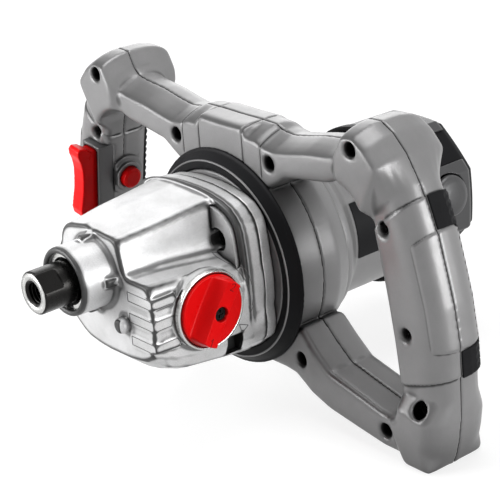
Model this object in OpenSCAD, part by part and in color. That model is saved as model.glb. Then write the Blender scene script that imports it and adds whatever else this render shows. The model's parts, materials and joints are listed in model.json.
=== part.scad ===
// Two-handed paint and mortar mixing drill with a two-speed gearbox.
// Spindle front face centre is the origin, the spindle points to -X, +Z is up.

/* [Spindle] */
// Diameter of the spindle nose
spindle_d = 24; // [23.6:0.1:24.4]
// Crest diameter of the thread in the nose
thread_d = 12; // [11.6:0.1:12.6]
// Depth of the thread in the nose
thread_depth = 26; // [20:1:30]
// Distance across the two wrench flats
flats_w = 21; // [20:0.25:22]
// Length of the wrench flats
flats_len = 12; // [8:1:14]

/* [Gearbox] */
// Outer diameter of the collar round the spindle
collar_d = 38.6; // [38:0.2:40]
// Front face of the collar
collar_x = 18.4; // [17:0.2:20]
// Inner diameter of the collar's mouth
mouth_d = 31; // [30.4:0.2:31.8]
// Face width of the low-speed gear pair
low_face = 8; // [7:0.25:8]
// Face width of the high-speed gear pair
high_face = 8; // [7:0.25:8]
// Distance from the spindle axis down to the motor axis
motor_drop = 21.1; // [20.9:0.1:21.3]
// Diameter of the round face of the gear selector knob
knob_d = 40; // [38:0.5:40.4]
// Height of the knob's grip bar above its face
knob_bar_h = 8; // [6:0.5:9]
// Distance the sliding gears move between the two speeds
shift_travel = 9; // [8.8:0.1:9.2]

/* [Motor] */
// Outer diameter of the motor body behind the frame
motor_d = 90; // [89:0.5:91]
// Outer diameter of the motor body inside the frame
front_tube_d = 106; // [105:0.5:106]
// Wall of the motor body round the stator
motor_wall = 3; // [2.6:0.1:3.4]
// Radial depth from the outside of the stator to the armature core
pole_depth = 18; // [17.5:0.1:18.5]
// Outer diameter of the commutator
commutator_d = 26; // [24:0.5:27]
// Radial room between the fan and the outside of the motor body
fan_room = 13; // [11:0.5:15]
// Length of the label plate along the motor body
label_l = 42; // [36:1:43]
// Number of fan blades
fan_blades = 12; // [9:1:14]
// Rear end of the machine
rear_x = 290; // [289:0.5:292]
// Tilt of the brush line from horizontal
brush_tilt = 9; // [6:1:12]

/* [Frame] */
// Overall width across both grips
frame_w = 326; // [322:1:332]
// Height of the spindle axis above the feet
foot_drop = 103.5; // [101:0.5:106]
// Height of the top corners above the spindle axis
crown_h = 78; // [76.5:0.5:80]
// Plane where the two frame shells meet
seam_x = 148; // [147:0.5:149]
// Rear face of the grips
grip_rear = 171; // [169:0.5:173]
// Wall thickness of the frame shells
wall = 3; // [2.6:0.1:3.2]
// Thickness of the rubber insert on the back of each grip
insert_t = 1.6; // [1.2:0.1:2]
// Diameter of the deep round screw holes
screw_pocket_d = 8.6; // [8:0.1:9]
// Thickness of the band that holds the motor body
band_wall = 8; // [7.5:0.1:8.5]

/* [Trigger] */
// Width of the trigger
trigger_w = 12; // [11:0.25:12.25]
// Distance the trigger is pulled
trigger_travel = 5.5; // [4.5:0.1:5.5]
// Diameter of the lock button
button_d = 13; // [12:0.25:13.25]
// Distance the lock button is pressed
button_travel = 3; // [2:0.25:3]

/* [Clearances] */
// Radial gap of a seated or running fit
fit_gap = 0.05; // [0.03:0.01:0.06]
// Radial gap of a sliding fit
slip_gap = 0.1; // [0.08:0.01:0.12]
// Gap between parts that pass each other
run_gap = 0.3; // [0.25:0.05:0.35]

/* [Hidden] */
$fn = 64;

motor_z = -motor_drop;
stator_d = motor_d - 2 * motor_wall;
armature_d = stator_d - 2 * pole_depth;
fan_d = front_tube_d - 2 * fan_room;
band_d = front_tube_d + 2 * band_wall;
// Field coils: half width, inner and outer distance from the motor axis
coil_hw = 0.346 * armature_d;
coil_r0 = armature_d / 2 + 1;
coil_r1 = sqrt(pow(stator_d / 2 - 7, 2) - pow(coil_hw, 2)) - 0.4;
// Layshaft axis, 28 from the spindle axis for the 42 and 14 tooth pair
lay = [-14, -24.25];
// First shaft axis, 20 from the layshaft and 21 from the motor axis
am = [0 - lay[0], motor_z - lay[1]];
dm = norm(am);
fa = (20 * 20 - 21 * 21 + dm * dm) / (2 * dm);
fh = sqrt(20 * 20 - fa * fa);
first = [lay[0] + fa * am[0] / dm + fh * am[1] / dm,
    lay[1] + fa * am[1] / dm - fh * am[0] / dm];
// Directions of the lines of centres
dir_spindle_lay = atan2(lay[1], lay[0]);
dir_lay_first = atan2(first[1] - lay[1], first[0] - lay[0]);
dir_first_motor = atan2(motor_z - first[1], -first[0]);
knob_x = 75;
knob_z = -20;
knob_bar_angle = 57;
label_x = 189;
// Rear end of the motor body
body_x = 234;
crank = shift_travel / 2;
splay = 8.7;
half_dw = (frame_w - 326) / 2;
grip_y = 137.3 + half_dw;

// Button frame: y = 0 is the inner face of the far grip
button_x = 149;
module on_button() {
    translate([button_x, 122.55 + half_dw, -4]) rotate([11.31, 0, 0]) children();
}

module bezel_seat() {
    on_button() {
        rotate([-90, 0, 0]) translate([0, 0, -8]) cylinder(d = 19.2, h = 14);
        box(-8.6, 11.6, -3, -0.03, -17.6, 10.6);
    }
}

// Primitives laid along the X and Y axes
module xcyl(d, x0, x1, y = 0, z = 0) {
    translate([x0, y, z]) rotate([0, 90, 0]) cylinder(d = d, h = x1 - x0);
}
module ycyl(d, y0, y1, x, z) {
    translate([x, y0, z]) rotate([-90, 0, 0]) cylinder(d = d, h = y1 - y0);
}
module xtube(d, bore, x0, x1, y = 0, z = 0) {
    difference() {
        xcyl(d, x0, x1, y, z);
        xcyl(bore, x0 - 1, x1 + 1, y, z);
    }
}
module xturn(y = 0, z = 0) {
    translate([0, y, z]) rotate([0, 90, 0]) rotate_extrude($fn = 96) children();
}
module xslab(x0, x1) {
    translate([x0, 0, 0]) rotate([90, 0, 90]) linear_extrude(x1 - x0) children();
}
module box(x0, x1, y0, y1, z0, z1) {
    translate([x0, y0, z0]) cube([x1 - x0, y1 - y0, z1 - z0]);
}
module on_motor() {
    translate([0, 0, motor_z]) children();
}
module on_grip() {
    translate([0, grip_y, 0]) rotate([splay, 0, 0]) children();
}

// Involute gear profile, module 1, 20 degree pressure angle
function inv(a) = tan(a) * 180 / PI - a;
function flank(z, r, b) = let(rb = z / 2 * cos(20), h = (90 - b * 180 / PI) / z)
    h + inv(20) - inv(acos(min(1, rb / r)));
function tooth(z, tip, b) = let(root = z / 2 - 1.25, base = max(z / 2 * cos(20), root + 0.02),
    rr = [for (k = [0:3]) base + (tip - base) * k / 3])
    concat([[root, -flank(z, base, b)]], [for (k = [0:3]) [rr[k], -flank(z, rr[k], b)]],
        [for (k = [3:-1:0]) [rr[k], flank(z, rr[k], b)]], [[root, flank(z, base, b)]]);
module gear(z, tip, phase, x0, x1, y, zz, backlash = 0.1) {
    pts = [for (t = [0:z - 1]) for (p = tooth(z, tip, backlash))
        [p[0] * cos(phase + 360 * t / z + p[1]), p[0] * sin(phase + 360 * t / z + p[1])]];
    translate([x0, y, zz]) rotate([90, 0, 90]) linear_extrude(x1 - x0) polygon(pts);
}

// Ball bearing with two races and a row of balls
module bearing(x0, w, di, do, y = 0, z = 0, n = 9) {
    t = (do - di) * 0.14;
    rm = (di + do) / 4;
    xtube(do, do - 2 * t, x0, x0 + w, y, z);
    xtube(di + 2 * t, di, x0, x0 + w, y, z);
    br = (do - di) / 4 - t + 0.25;
    for (i = [0:n - 1]) {
        a = 360 * i / n;
        translate([x0 + w / 2, y + rm * cos(a), z + rm * sin(a)]) sphere(r = br, $fn = 24);
    }
}

// Coil spring along X: centre radius, wire radius, turns, start and end
function coil_pt(r, w, t, x0, x1, i, j, n, k) = let(a = 360 * t * i / n, b = 360 * j / k,
    rr = r + w * cos(b)) [x0 + (x1 - x0) * i / n + w * sin(b), rr * cos(a), rr * sin(a)];
module coil(r, w, t, x0, x1) {
    n = ceil(t * 14);
    k = 6;
    pts = [for (i = [0:n]) for (j = [0:k - 1]) coil_pt(r, w, t, x0 + w, x1 - w, i, j, n, k)];
    side = [for (i = [0:n - 1]) for (j = [0:k - 1]) let(j2 = (j + 1) % k)
        each [[i * k + j, i * k + j2, (i + 1) * k + j2], [i * k + j, (i + 1) * k + j2, (i + 1) * k + j]]];
    cap0 = [for (j = [1:k - 2]) [0, j + 1, j]];
    cap1 = [for (j = [1:k - 2]) [n * k, n * k + j, n * k + j + 1]];
    polyhedron(points = pts, faces = concat(side, cap0, cap1), convexity = 6);
}

// Loft through outlines with equal point counts, each at its own X
function centre(ring) = [for (p = ring) 1] * ring / len(ring);
module loft(xs, rings) {
    n = len(rings[0]);
    m = len(rings);
    c0 = centre(rings[0]);
    c1 = centre(rings[m - 1]);
    pts = concat([for (i = [0:m - 1]) for (p = rings[i]) [xs[i], p[0], p[1]]],
        [[xs[0], c0[0], c0[1]], [xs[m - 1], c1[0], c1[1]]]);
    side = [for (i = [0:m - 2]) for (j = [0:n - 1]) let(j2 = (j + 1) % n)
        each [[i * n + j, (i + 1) * n + j, (i + 1) * n + j2], [i * n + j, (i + 1) * n + j2, i * n + j2]]];
    front = [for (j = [0:n - 1]) [m * n, j, (j + 1) % n]];
    back = [for (j = [0:n - 1]) [m * n + 1, (m - 1) * n + (j + 1) % n, (m - 1) * n + j]];
    polyhedron(points = pts, faces = concat(side, front, back), convexity = 6);
}

// Spindle group
module spindle() {
    color("#6f6a66") difference() {
        union() {
            xturn() polygon([[0, 0], [spindle_d / 2 - 0.8, 0], [spindle_d / 2, 0.8],
                [spindle_d / 2, 28.6], [10 - fit_gap, 28.6], [10 - fit_gap, 58], [9 - fit_gap, 58],
                [9 - fit_gap, 99.6], [6 - fit_gap, 99.6], [6 - fit_gap, 108.2], [0, 108.2]]);
            rotate([dir_spindle_lay, 0, 0]) box(59, 91, 8, 10.4, -2.5, 2.5);
        }
        xcyl(thread_d, -1, thread_depth);
        xturn() polygon([[0, -0.1], [thread_d / 2 + 1.3, -0.1], [thread_d / 2, 1.2], [0, 1.2]]);
        for (s = [0, 180]) rotate([137 + s, 0, 0])
            box(-1, flats_len, flats_w / 2, spindle_d, -spindle_d, spindle_d);
    }
}
module spindle_gear(z, tip, x0, x1, h0, h1) {
    difference() {
        union() {
            gear(z, tip, dir_spindle_lay, x0, x1, 0, 0);
            xcyl(26, h0, h1);
        }
        xcyl(18, h0 - 1, h1 + 1);
        rotate([dir_spindle_lay, 0, 0]) box(h0 - 1, h1 + 1, 0, 10.5, -2.6, 2.6);
        for (a = [30:60:330]) rotate([a, 0, 0])
            xcyl(tip * 0.24, x0 - 1, x1 + 1, tip * 0.62 + 2, 0);
    }
}
module spindle_low_gear() {
    color("#8d8f93") spindle_gear(42, 21.9, 91 - low_face, 91, 75.2, 91);
}
module spindle_high_gear() {
    color("#8d8f93") spindle_gear(36, 18.95, 59, 59 + high_face, 59, 75);
}
module spindle_seal() {
    color("#26272a") difference() {
        xturn() polygon([[spindle_d / 2 + 0.02, 23.2], [13.6, 23.2], [14.2, 23], [mouth_d / 2 - 0.02, 23],
            [mouth_d / 2 - 0.02, 28], [spindle_d / 2 + 0.02, 28]]);
        xturn() polygon([[13.2, 22], [14.4, 22], [14.2, 24], [13.4, 24]]);
    }
}
module spindle_circlip() {
    color("#b9bbbe") difference() {
        xtube(mouth_d + 1.8, mouth_d - 4.2, 21.5, 22.7);
        box(21, 23, -3.4, 3.4, -mouth_d, -mouth_d / 2 + 4.4);
    }
}
module spindle_front_bearing() {
    color("#c4c7ca") bearing(29, 10, 20, 32, 0, 0, 11);
}
module spindle_bearing_tube() {
    color("#a9abae") xtube(31.9, 24, 39.05, 56.9);
}
module spindle_rear_bearing() {
    color("#c4c7ca") bearing(100, 8, 12, 28, 0, 0, 8);
}

// Layshaft group
module layshaft() {
    color("#8d8f93") {
        xcyl(8 - 2 * fit_gap, 52.1, 58, lay[0], lay[1]);
        xcyl(8, 58, 92.2, lay[0], lay[1]);
        for (a = [0:60:300]) translate([0, lay[0], lay[1]]) rotate([a, 0, 0])
            box(58.4, 92.3, 3, 4.9, -0.8, 0.8);
        gear(30, 15.65, dir_lay_first, 92.5, 99.5, lay[0], lay[1]);
        xcyl(12, 92.2, 100.6, lay[0], lay[1]);
        xcyl(8 - 2 * fit_gap, 100.6, 107.5, lay[0], lay[1]);
    }
}
module sliding_cluster() {
    x0 = 68;
    color("#9a9ca0") difference() {
        union() {
            gear(20, 10.9, dir_spindle_lay + 180 + 9, x0, x0 + high_face, lay[0], lay[1]);
            gear(14, 7.9, dir_spindle_lay + 180 + 180 / 14, 91 - low_face, 91, lay[0], lay[1]);
            xcyl(12, x0, 91, lay[0], lay[1]);
            xcyl(17, x0 + 8, x0 + 9.3, lay[0], lay[1]);
            xcyl(15, 81.7, 83, lay[0], lay[1]);
        }
        xcyl(8 + 2 * slip_gap, x0 - 1, 92, lay[0], lay[1]);
        for (a = [0:60:300]) translate([0, lay[0], lay[1]]) rotate([a, 0, 0])
            box(x0 - 1, 92, 0, 5, -0.9, 0.9);
    }
}
module layshaft_bearings() {
    color("#c4c7ca") {
        bearing(52, 5, 8, 16, lay[0], lay[1], 8);
        bearing(102.5, 5, 8, 16, lay[0], lay[1], 8);
    }
}
module first_shaft() {
    y = first[0];
    z = first[1];
    color("#8d8f93") {
        xcyl(8 - 2 * fit_gap, 84.2, 91.6, y, z);
        gear(10, 5.95, dir_lay_first + 180 + 18, 92, 100, y, z);
        xcyl(7.4, 91.6, 101, y, z);
        xcyl(8 - 2 * fit_gap, 101, 108.4, y, z);
        difference() {
            union() {
                gear(35, 17.9, dir_first_motor, 108.5, 114.5, y, z);
                xcyl(16, 108.3, 115.3, y, z);
            }
            for (a = [0:60:300]) translate([0, y, z]) rotate([a, 0, 0]) xcyl(5, 107, 116, 11.5, 0);
        }
        xcyl(8 - 2 * fit_gap, 115.3, 122.4, y, z);
    }
}
module first_shaft_bushes() {
    color("#b08d57") {
        xtube(12, 8, 84, 91, first[0], first[1]);
        xtube(12, 8, 101.4, 107.8, first[0], first[1]);
        xtube(12, 8, 117.2, 122.6, first[0], first[1]);
    }
}

// Gear selector
module shift_fork() {
    c = 75 + crank;
    color("#b9995a") difference() {
        union() {
            box(c - 1.9, c + 1.9, -35.4, -14, -33, -18);
            xcyl(21, c - 1.9, c + 1.9, lay[0], lay[1]);
            box(c - 7, c + 7, -35.4, -31.6, -36, -10.4);
            xcyl(11, c - 7, c + 7, -33.4, -36);
        }
        xcyl(12.6, c - 8, c + 8, lay[0], lay[1]);
        box(c - 8, c + 8, lay[0], 0, lay[1] - 6.3, lay[1] + 6.3);
        xcyl(6 + 2 * slip_gap, c - 8, c + 8, -33.4, -36);
        box(c - 3.6, c + 3.6, -37, -30, knob_z - 7.6, knob_z + 7.6);
    }
}
module fork_rod() {
    color("#b9bbbe") xcyl(6, 56.2, 93.8, -33.4, -36);
}
function bar_ring(a, b) = [for (q = [[-18, -3.4], [-16.4, -5.4], [16.4, -5.4], [18, -3.4], [18, 3.4],
    [16.4, 5.4], [-16.4, 5.4], [-18, 3.4]]) [q[0] * a, q[1] * b]];
module selector_knob() {
    color("#c8201b") difference() {
        union() {
            ycyl(knob_d, -54, -50.1, knob_x, knob_z);
            ycyl(knob_d - 3, -55, -53.9, knob_x, knob_z);
            translate([knob_x, -54, knob_z]) rotate([0, 0, -90]) rotate([knob_bar_angle, 0, 0])
                loft([0, knob_bar_h - 1, knob_bar_h],
                    [bar_ring(1, 1), bar_ring(0.94, 0.8), bar_ring(0.9, 0.6)]);
        }
        ycyl(4.2, -70, -40, knob_x, knob_z);
        ycyl(7.6, -70, -57.4, knob_x, knob_z);
        ycyl(8.2, -52.8, -40, knob_x, knob_z);
        for (a = [0, 180]) translate([knob_x, 0, knob_z]) rotate([0, a, 0])
            ycyl(4.6, -51.8, -40, 14, 0);
        difference() {
            ycyl(32, -51.2, -50, knob_x, knob_z);
            ycyl(24, -51.3, -49.9, knob_x, knob_z);
        }
    }
}
module selector_shaft() {
    color("#8d8f93") difference() {
        union() {
            ycyl(8 - 2 * fit_gap, -52.8, -39.8, knob_x, knob_z);
            ycyl(17, -39.9, -36.6, knob_x, knob_z);
            ycyl(5, -36.7, -31.8, knob_x + crank, knob_z);
        }
        ycyl(3.2, -60, -44, knob_x, knob_z);
        difference() {
            ycyl(9, -45.2, -43, knob_x, knob_z);
            ycyl(5.8, -46, -42, knob_x, knob_z);
        }
    }
}
module knob_screw() {
    color("#3a3b3e") difference() {
        union() {
            ycyl(7.4, -60, -57.4, knob_x, knob_z);
            ycyl(4, -57.5, -53, knob_x, knob_z);
            ycyl(3.1, -53.1, -45, knob_x, knob_z);
        }
        for (a = [15, 105]) translate([knob_x, 0, knob_z]) rotate([0, a, 0])
            box(-2.4, 2.4, -61, -58.8, -0.45, 0.45);
    }
}
module selector_o_ring() {
    color("#1c1c1e") translate([knob_x, -44.1, knob_z]) rotate([90, 0, 0])
        rotate_extrude($fn = 48) translate([3.47, 0]) circle(r = 0.55, $fn = 24);
}
module detent_ball() {
    color("#d5d7da") translate([knob_x + 14, -49, knob_z]) sphere(d = 4, $fn = 32);
}
module detent_spring() {
    color("#a9abae") translate([knob_x + 14, 0, knob_z]) rotate([0, 0, 90]) coil(1.4, 0.3, 4, -47.2, -42.2);
}

// Outlines of the casting: front face, middle and rear, near side first
ring_40 = [[7, 24.3], [-8, 23.4], [-17.5, 22.8], [-20.6, 21.9], [-22, 19.8], [-22.8, 15], [-24.4, 8],
    [-26, 3.6], [-29.4, 2.3], [-36, 2.3], [-42.6, 2.4], [-45.2, 1.6], [-46.4, -0.6], [-47.2, -5],
    [-48.2, -12], [-48.4, -21], [-47.6, -31], [-44.4, -38.4], [-38, -42], [-31, -43.2], [-23.5, -44],
    [-14, -44.2],
    [-5, -44.3], [4, -43.6], [13, -42], [18, -39.5], [24, -35], [31, -26], [35, -14], [35.4, -2],
    [33, 6], [30.6, 9.6], [29.6, 14], [28, 17], [25, 20], [21, 21.7]];
ring_46 = [[7, 24.9], [-8, 24], [-17.8, 23.4], [-21.2, 22.4], [-22.7, 20.2], [-23.4, 15], [-24.6, 8],
    [-26, 3.4], [-29.4, 2], [-36, 1.9], [-42.2, 1.9], [-45, 1.1], [-46.3, -1.2], [-47.3, -5.6],
    [-48.3, -12],
    [-48.5, -21], [-48, -31.5], [-45.8, -40], [-40.2, -44.8], [-32, -47.2], [-23.5, -48.7], [-14, -49.1],
    [-5, -49.2], [4, -48.6], [13, -46.8], [20, -43.6], [27, -38], [34, -28], [37.6, -15], [38, -2],
    [35, 7], [32, 11], [30.6, 15], [28.6, 18], [25.4, 20.9], [21, 22.4]];
ring_52 = [[7, 25.4], [-8, 24.6], [-18, 24], [-21.7, 22.9], [-23.2, 20.6], [-23.9, 15], [-24.8, 8],
    [-26, 3.2], [-29.4, 1.7], [-36, 1.5], [-41.8, 1.4], [-44.7, 0.6], [-46.2, -1.8], [-47.3, -6.2],
    [-48.3, -12], [-48.5, -21], [-48.2, -32], [-46.6, -42], [-41.8, -48.6], [-33, -52], [-24, -53.8],
    [-14, -54.2],
    [-5, -54.3], [5, -53.6], [15, -51.4], [23, -47], [31, -40], [37.4, -29], [40.4, -15], [40.6, -2],
    [37, 8], [33.4, 12], [31.6, 16], [29, 19.4], [25.6, 21.8], [21, 23.2]];
ring_63 = [[7, 26.4], [-8, 25.6], [-18.4, 25], [-22.4, 23.8], [-24, 21.4], [-24.6, 15], [-25, 8.4],
    [-26, 3.4], [-29.4, 0.9], [-36, 0.5], [-41.2, 0.4], [-44.2, -0.5], [-46, -3], [-47.2, -7.4],
    [-48.3, -13],
    [-48.5, -21], [-48.3, -33], [-47, -44], [-43, -52], [-34, -56], [-24, -57.9], [-14, -58.4],
    [-5, -58.4], [6, -57.6], [17, -55], [26, -50.4], [35, -43], [41, -31], [43.6, -16], [43.4, -2],
    [39, 9], [35.2, 13.6], [33, 17.4], [29.8, 21], [26, 23.6], [21, 24.8]];
ring_99 = [[7, 29.4], [-8, 28.8], [-19, 28.2], [-23.6, 27.2], [-25.2, 25], [-25.7, 17], [-25.8, 10.4],
    [-26.2, 6.4], [-28, 0.4], [-33, -2.6], [-38, -3.2], [-42, -4.4], [-44.6, -7], [-46.4, -11],
    [-47.8, -15],
    [-48.4, -24], [-48.3, -36], [-47.2, -48], [-43.4, -56.4], [-34, -60.8], [-24, -62.8], [-14, -63.3],
    [-5, -63.4], [6, -63], [18, -61], [29, -57], [39, -49.6], [45, -37], [47.4, -20], [47, -4],
    [42, 11], [38, 17], [34.6, 21.4], [30.6, 25], [26.4, 27.4], [21, 28.6]];
ring_107 = [for (p = ring_99) [p[0] * 1.002, p[1] > 0 ? p[1] + 0.6 : p[1] - 0.6]];
flange = [[10, 31], [-10, 31], [-21, 29.8], [-30.7, 27.7], [-37.4, 25], [-42, 21], [-44.8, 17.4], [-46.4, 13],
    [-47.6, 5], [-48.4, -4], [-48.8, -15], [-48.8, -25], [-48.2, -38], [-46.8, -49], [-45.4, -53.2],
    [-42.5, -56.4], [-36, -60.6], [-28.6, -64.2], [-20.5, -66.6], [-10, -67], [10, -67], [20.5, -66.6],
    [28.6, -64.2], [36, -60.6], [42.5, -56.4], [45.4, -53.2], [46.8, -49], [48.2, -38], [48.8, -25],
    [48.8, -15], [48.4, -4], [47.6, 5], [46.4, 13], [44.8, 17.4], [42, 21], [37.4, 25], [30.7, 27.7],
    [21, 29.8]];
flange_screws = [[-29.5, 6], [29.5, 6], [-38, -49], [38, -49]];

module gearbox_housing() {
    color("#b4b6b8") difference() {
        union() {
            loft([40, 46, 52, 63, 99, 107], [ring_40, ring_46, ring_52, ring_63, ring_99, ring_107]);
            xslab(103, 117) polygon(flange);
            xturn() polygon([[0, collar_x], [collar_d / 2 - 1, collar_x], [collar_d / 2, collar_x + 1],
                [collar_d / 2, 44], [0, 44]]);
            for (a = [0:90:270]) rotate([a, 0, 0])
                box(32, 39.8, collar_d / 2 - 1, collar_d / 2 + 3, -2.5, 2.5);
            ycyl(44, -53, -44, knob_x, knob_z);
            xcyl(8.5, 34, 43, -24, -24);
            for (b = [[-4.4, -9.7, 57.4, 54], [-16.7, -21.9, 53.2, 51.3], [-30, -35, 54.3, 57.1]]) {
                box(39, 41 + 2, -47.9, -28, b[1], b[0]);
                box(39, (b[2] + b[3]) / 2, -49.3, -44, b[1], b[0]);
            }
        }
        // Collar mouth, circlip groove and bearing seats
        xcyl(mouth_d, 0, 29);
        xturn() polygon([[0, collar_x - 0.1], [mouth_d / 2 + 1.2, collar_x - 0.1],
            [mouth_d / 2, collar_x + 1.4], [0, collar_x + 1.4]]);
        xcyl(mouth_d + 2, 21.4, 22.8);
        xcyl(32 + 2 * fit_gap, 28.9, 58);
        // Gear chambers
        xcyl(40.6, 57, 81);
        xcyl(45.6, 81, 101);
        xcyl(24.4, 57, 101, lay[0], lay[1]);
        xcyl(34.6, 91.8, 101, lay[0], lay[1]);
        xcyl(16 + 2 * fit_gap, 51.9, 58, lay[0], lay[1]);
        xcyl(14, 91.6, 101, first[0], first[1]);
        xcyl(12 + 2 * fit_gap, 83.8, 92, first[0], first[1]);
        box(60, 90, -40.4, -19, -42, -9.6);
        xcyl(6 + 2 * fit_gap, 56, 94, -33.4, -36);
        // Selector shaft bore and detent pocket
        ycyl(knob_d + 2 * run_gap, -54, -49.8, knob_x, knob_z);
        ycyl(8 + 2 * fit_gap, -54, -38, knob_x, knob_z);
        ycyl(4.1, -50, -42, knob_x + 14, knob_z);
        // Seat of the bearing plate and of the rear chamber, with a pillar at each screw
        difference() {
            xslab(100.9, 118) offset(delta = -4.6) polygon(flange);
            for (s = flange_screws) xcyl(13, 100, 119, s[0], s[1]);
        }
        // Screw pockets in the flange
        for (s = flange_screws) {
            xcyl(4.6, 104, 118, s[0], s[1]);
            if (s[1] > 0) xcyl(9.4, 99, 110, s[0], s[1]);
        }
    }
}
module bearing_plate() {
    color("#9fa2a5") difference() {
        xslab(101, 108) offset(delta = -4.9) polygon(flange);
        xcyl(28 + 2 * fit_gap, 99, 109);
        xcyl(16 + 2 * fit_gap, 102.4, 109, lay[0], lay[1]);
        xcyl(13, 99, 109, lay[0], lay[1]);
        xcyl(12 + 2 * fit_gap, 101.3, 107.9, first[0], first[1]);
        xcyl(9, 99, 109, first[0], first[1]);
        xcyl(11, 106.6, 109, 0, motor_z);
        for (s = flange_screws) xcyl(13.8, 99, 109, s[0], s[1]);
    }
}
module gearbox_gasket() {
    color("#2b2c2e") difference() {
        xslab(117.02, 117.28) offset(delta = -0.6) polygon(flange);
        xslab(116, 118) offset(delta = -4.5) polygon(flange);
        for (s = flange_screws) xcyl(5.2, 116, 118, s[0], s[1]);
    }
}
module gearbox_plate() {
    color("#a9abae") difference() {
        union() {
            xslab(117.3, 124) offset(delta = -1) polygon(flange);
            xcyl(34, 123, 127.4, 0, motor_z);
        }
        xcyl(26 + 2 * fit_gap, 118.4, 128, 0, motor_z);
        xcyl(12, 116, 120, 0, motor_z);
        xcyl(12 + 2 * fit_gap, 117.1, 122.8, first[0], first[1]);
        for (s = flange_screws) {
            xcyl(4.6, 116, 125, s[0], s[1]);
            if (s[1] < 0) xcyl(8.8, 119.6, 125, s[0], s[1]);
        }
    }
}
module housing_screws() {
    color("#3a3b3e") for (s = flange_screws) {
        front = s[1] > 0;
        difference() {
            union() {
                if (front) {
                    xcyl(8.4, 110 - 4.2, 110, s[0], s[1]);
                    xcyl(4.4, 109.9, 126.8, s[0], s[1]);
                } else {
                    xcyl(8.4, 119.7, 123.9, s[0], s[1]);
                    xcyl(4.4, 104.5, 119.8, s[0], s[1]);
                }
            }
            if (front) xcyl(4, 105, 108, s[0], s[1]);
            else xcyl(4, 122, 125, s[0], s[1]);
        }
    }
}

// Motor
module front_ring() {
    r = front_tube_d / 2 + slip_gap;
    color("#1b1b1d") xturn(0, motor_z) polygon([[r, 124.2], [r + 4.6, 124.2], [r + 5.3, 124.8],
        [r + 9.3, 129.6], [r + 10.9, 129.9], [r + 10.9, 130.9], [r, 130.9]]);
}
module motor_housing() {
    r1 = front_tube_d / 2;
    r2 = motor_d / 2;
    color("#86898c") difference() {
        union() {
            xturn(0, motor_z) polygon([[0, 124.2], [r1, 124.2], [r1, 176], [r1 - 0.6, 178],
                [r2 + 1, 186], [r2, 188], [r2, body_x], [0, body_x]]);
        }
        xcyl(front_tube_d - 5.2, 127.2, 164, 0, motor_z);
        xcyl(stator_d + 2 * slip_gap, 160, 229, 0, motor_z);
        xcyl(stator_d - 6, 228, body_x + 1, 0, motor_z);
        xcyl(34 + 2 * fit_gap, 123, 128, 0, motor_z);
        for (s = flange_screws) xcyl(5.2, 123, 128, s[0], s[1]);
        for (a = [0:30:330]) on_motor() rotate([a, 0, 0]) box(123, 128, 24, 44, -4, 4);
    }
}
module label_plate() {
    color("#101012") translate([label_x, 0, motor_z]) rotate([149, 0, 0]) rotate([0, 90, 0])
        rotate([0, 0, 90]) rotate_extrude(angle = 42, $fn = 96)
            polygon([[motor_d / 2 + 0.02, 0], [motor_d / 2 + 0.5, 0], [motor_d / 2 + 0.5, label_l],
                [motor_d / 2 + 0.02, label_l]]);
}
module stator_core() {
    color("#75777b") on_motor() difference() {
        xcyl(stator_d, 165, 225);
        difference() {
            xcyl(stator_d - 14, 164, 226);
            for (s = [0, 180]) rotate([s, 0, 0]) box(164, 226, 0, stator_d / 2, -19, 19);
        }
        xcyl(armature_d + 1.6, 164, 226);
        for (s = [0, 180]) rotate([s, 0, 0]) box(164, 226, armature_d / 2, armature_d / 2 + 6, -19.5, -13);
    }
}
module field_windings() {
    color("#a4562b") on_motor() for (s = [0, 180]) rotate([s + 90, 0, 0]) difference() {
        union() {
            box(164, 226, coil_r0, coil_r1, -coil_hw, coil_hw);
            for (x = [155, 225.2]) box(x, x + 9.6, coil_r0, coil_r1 + 3, -coil_hw - 1.8, coil_hw + 1.8);
        }
        xcyl(armature_d + 2.4, 150, 240);
    }
}
module armature_shaft() {
    color("#8d8f93") on_motor() {
        gear(7, 4.48, dir_first_motor + 180 + 180 / 7, 107.5, 115.5, 0, 0);
        xcyl(6.6, 115.4, 117.4);
        xcyl(10 - 2 * fit_gap, 117.4, 275.8);
        xcyl(8 - 2 * fit_gap, 275.7, 284.4);
    }
}
module armature_core() {
    color("#808286") on_motor() difference() {
        xcyl(armature_d, 165, 225);
        xcyl(10, 164, 226);
        for (a = [0:30:330]) rotate([a, 0, 0]) {
            xcyl(6, 164, 226, armature_d / 2 - 5.5, 0);
            box(164, 226, armature_d / 2 - 5, armature_d / 2 + 1, -1, 1);
        }
    }
}
module armature_winding() {
    color("#a4562b") on_motor() {
        r = armature_d / 2 - 2.4;
        xturn() polygon([[5.2, 156], [9, 154.4], [r - 2.6, 155.4], [r, 158.6], [r, 164.8], [5.2, 164.8]]);
        xturn() polygon([[5.2, 225.2], [r, 225.2], [r, 232], [r - 3, 236.4], [9, 240], [5.2, 240]]);
        for (a = [0:30:330]) rotate([a, 0, 0]) xcyl(5.4, 164.6, 225.4, armature_d / 2 - 5.5, 0);
        xturn() polygon([[5.2, 240], [8.4, 240], [8.4, 252.8], [5.2, 252.8]]);
    }
}
module commutator() {
    color("#b3743f") on_motor() difference() {
        xturn() polygon([[5, 253], [commutator_d / 2 + 1.4, 253], [commutator_d / 2 + 1.4, 256],
            [commutator_d / 2, 256], [commutator_d / 2, 274], [5, 274]]);
        for (a = [0:15:345]) rotate([a, 0, 0]) box(252, 275, commutator_d / 2 - 1.2, 30, -0.25, 0.25);
    }
}
module fan() {
    color("#2d2e31") on_motor() difference() {
        union() {
            xcyl(22, 129.4, 143);
            xcyl(fan_d, 141, 143);
            for (i = [0:fan_blades - 1]) rotate([360 * i / fan_blades, 0, 0])
                translate([131, 10, 0]) rotate([14, 0, 0]) cube([10.5, fan_d / 2 - 11.6, 1.8]);
        }
        xcyl(10, 129, 144);
    }
}
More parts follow.
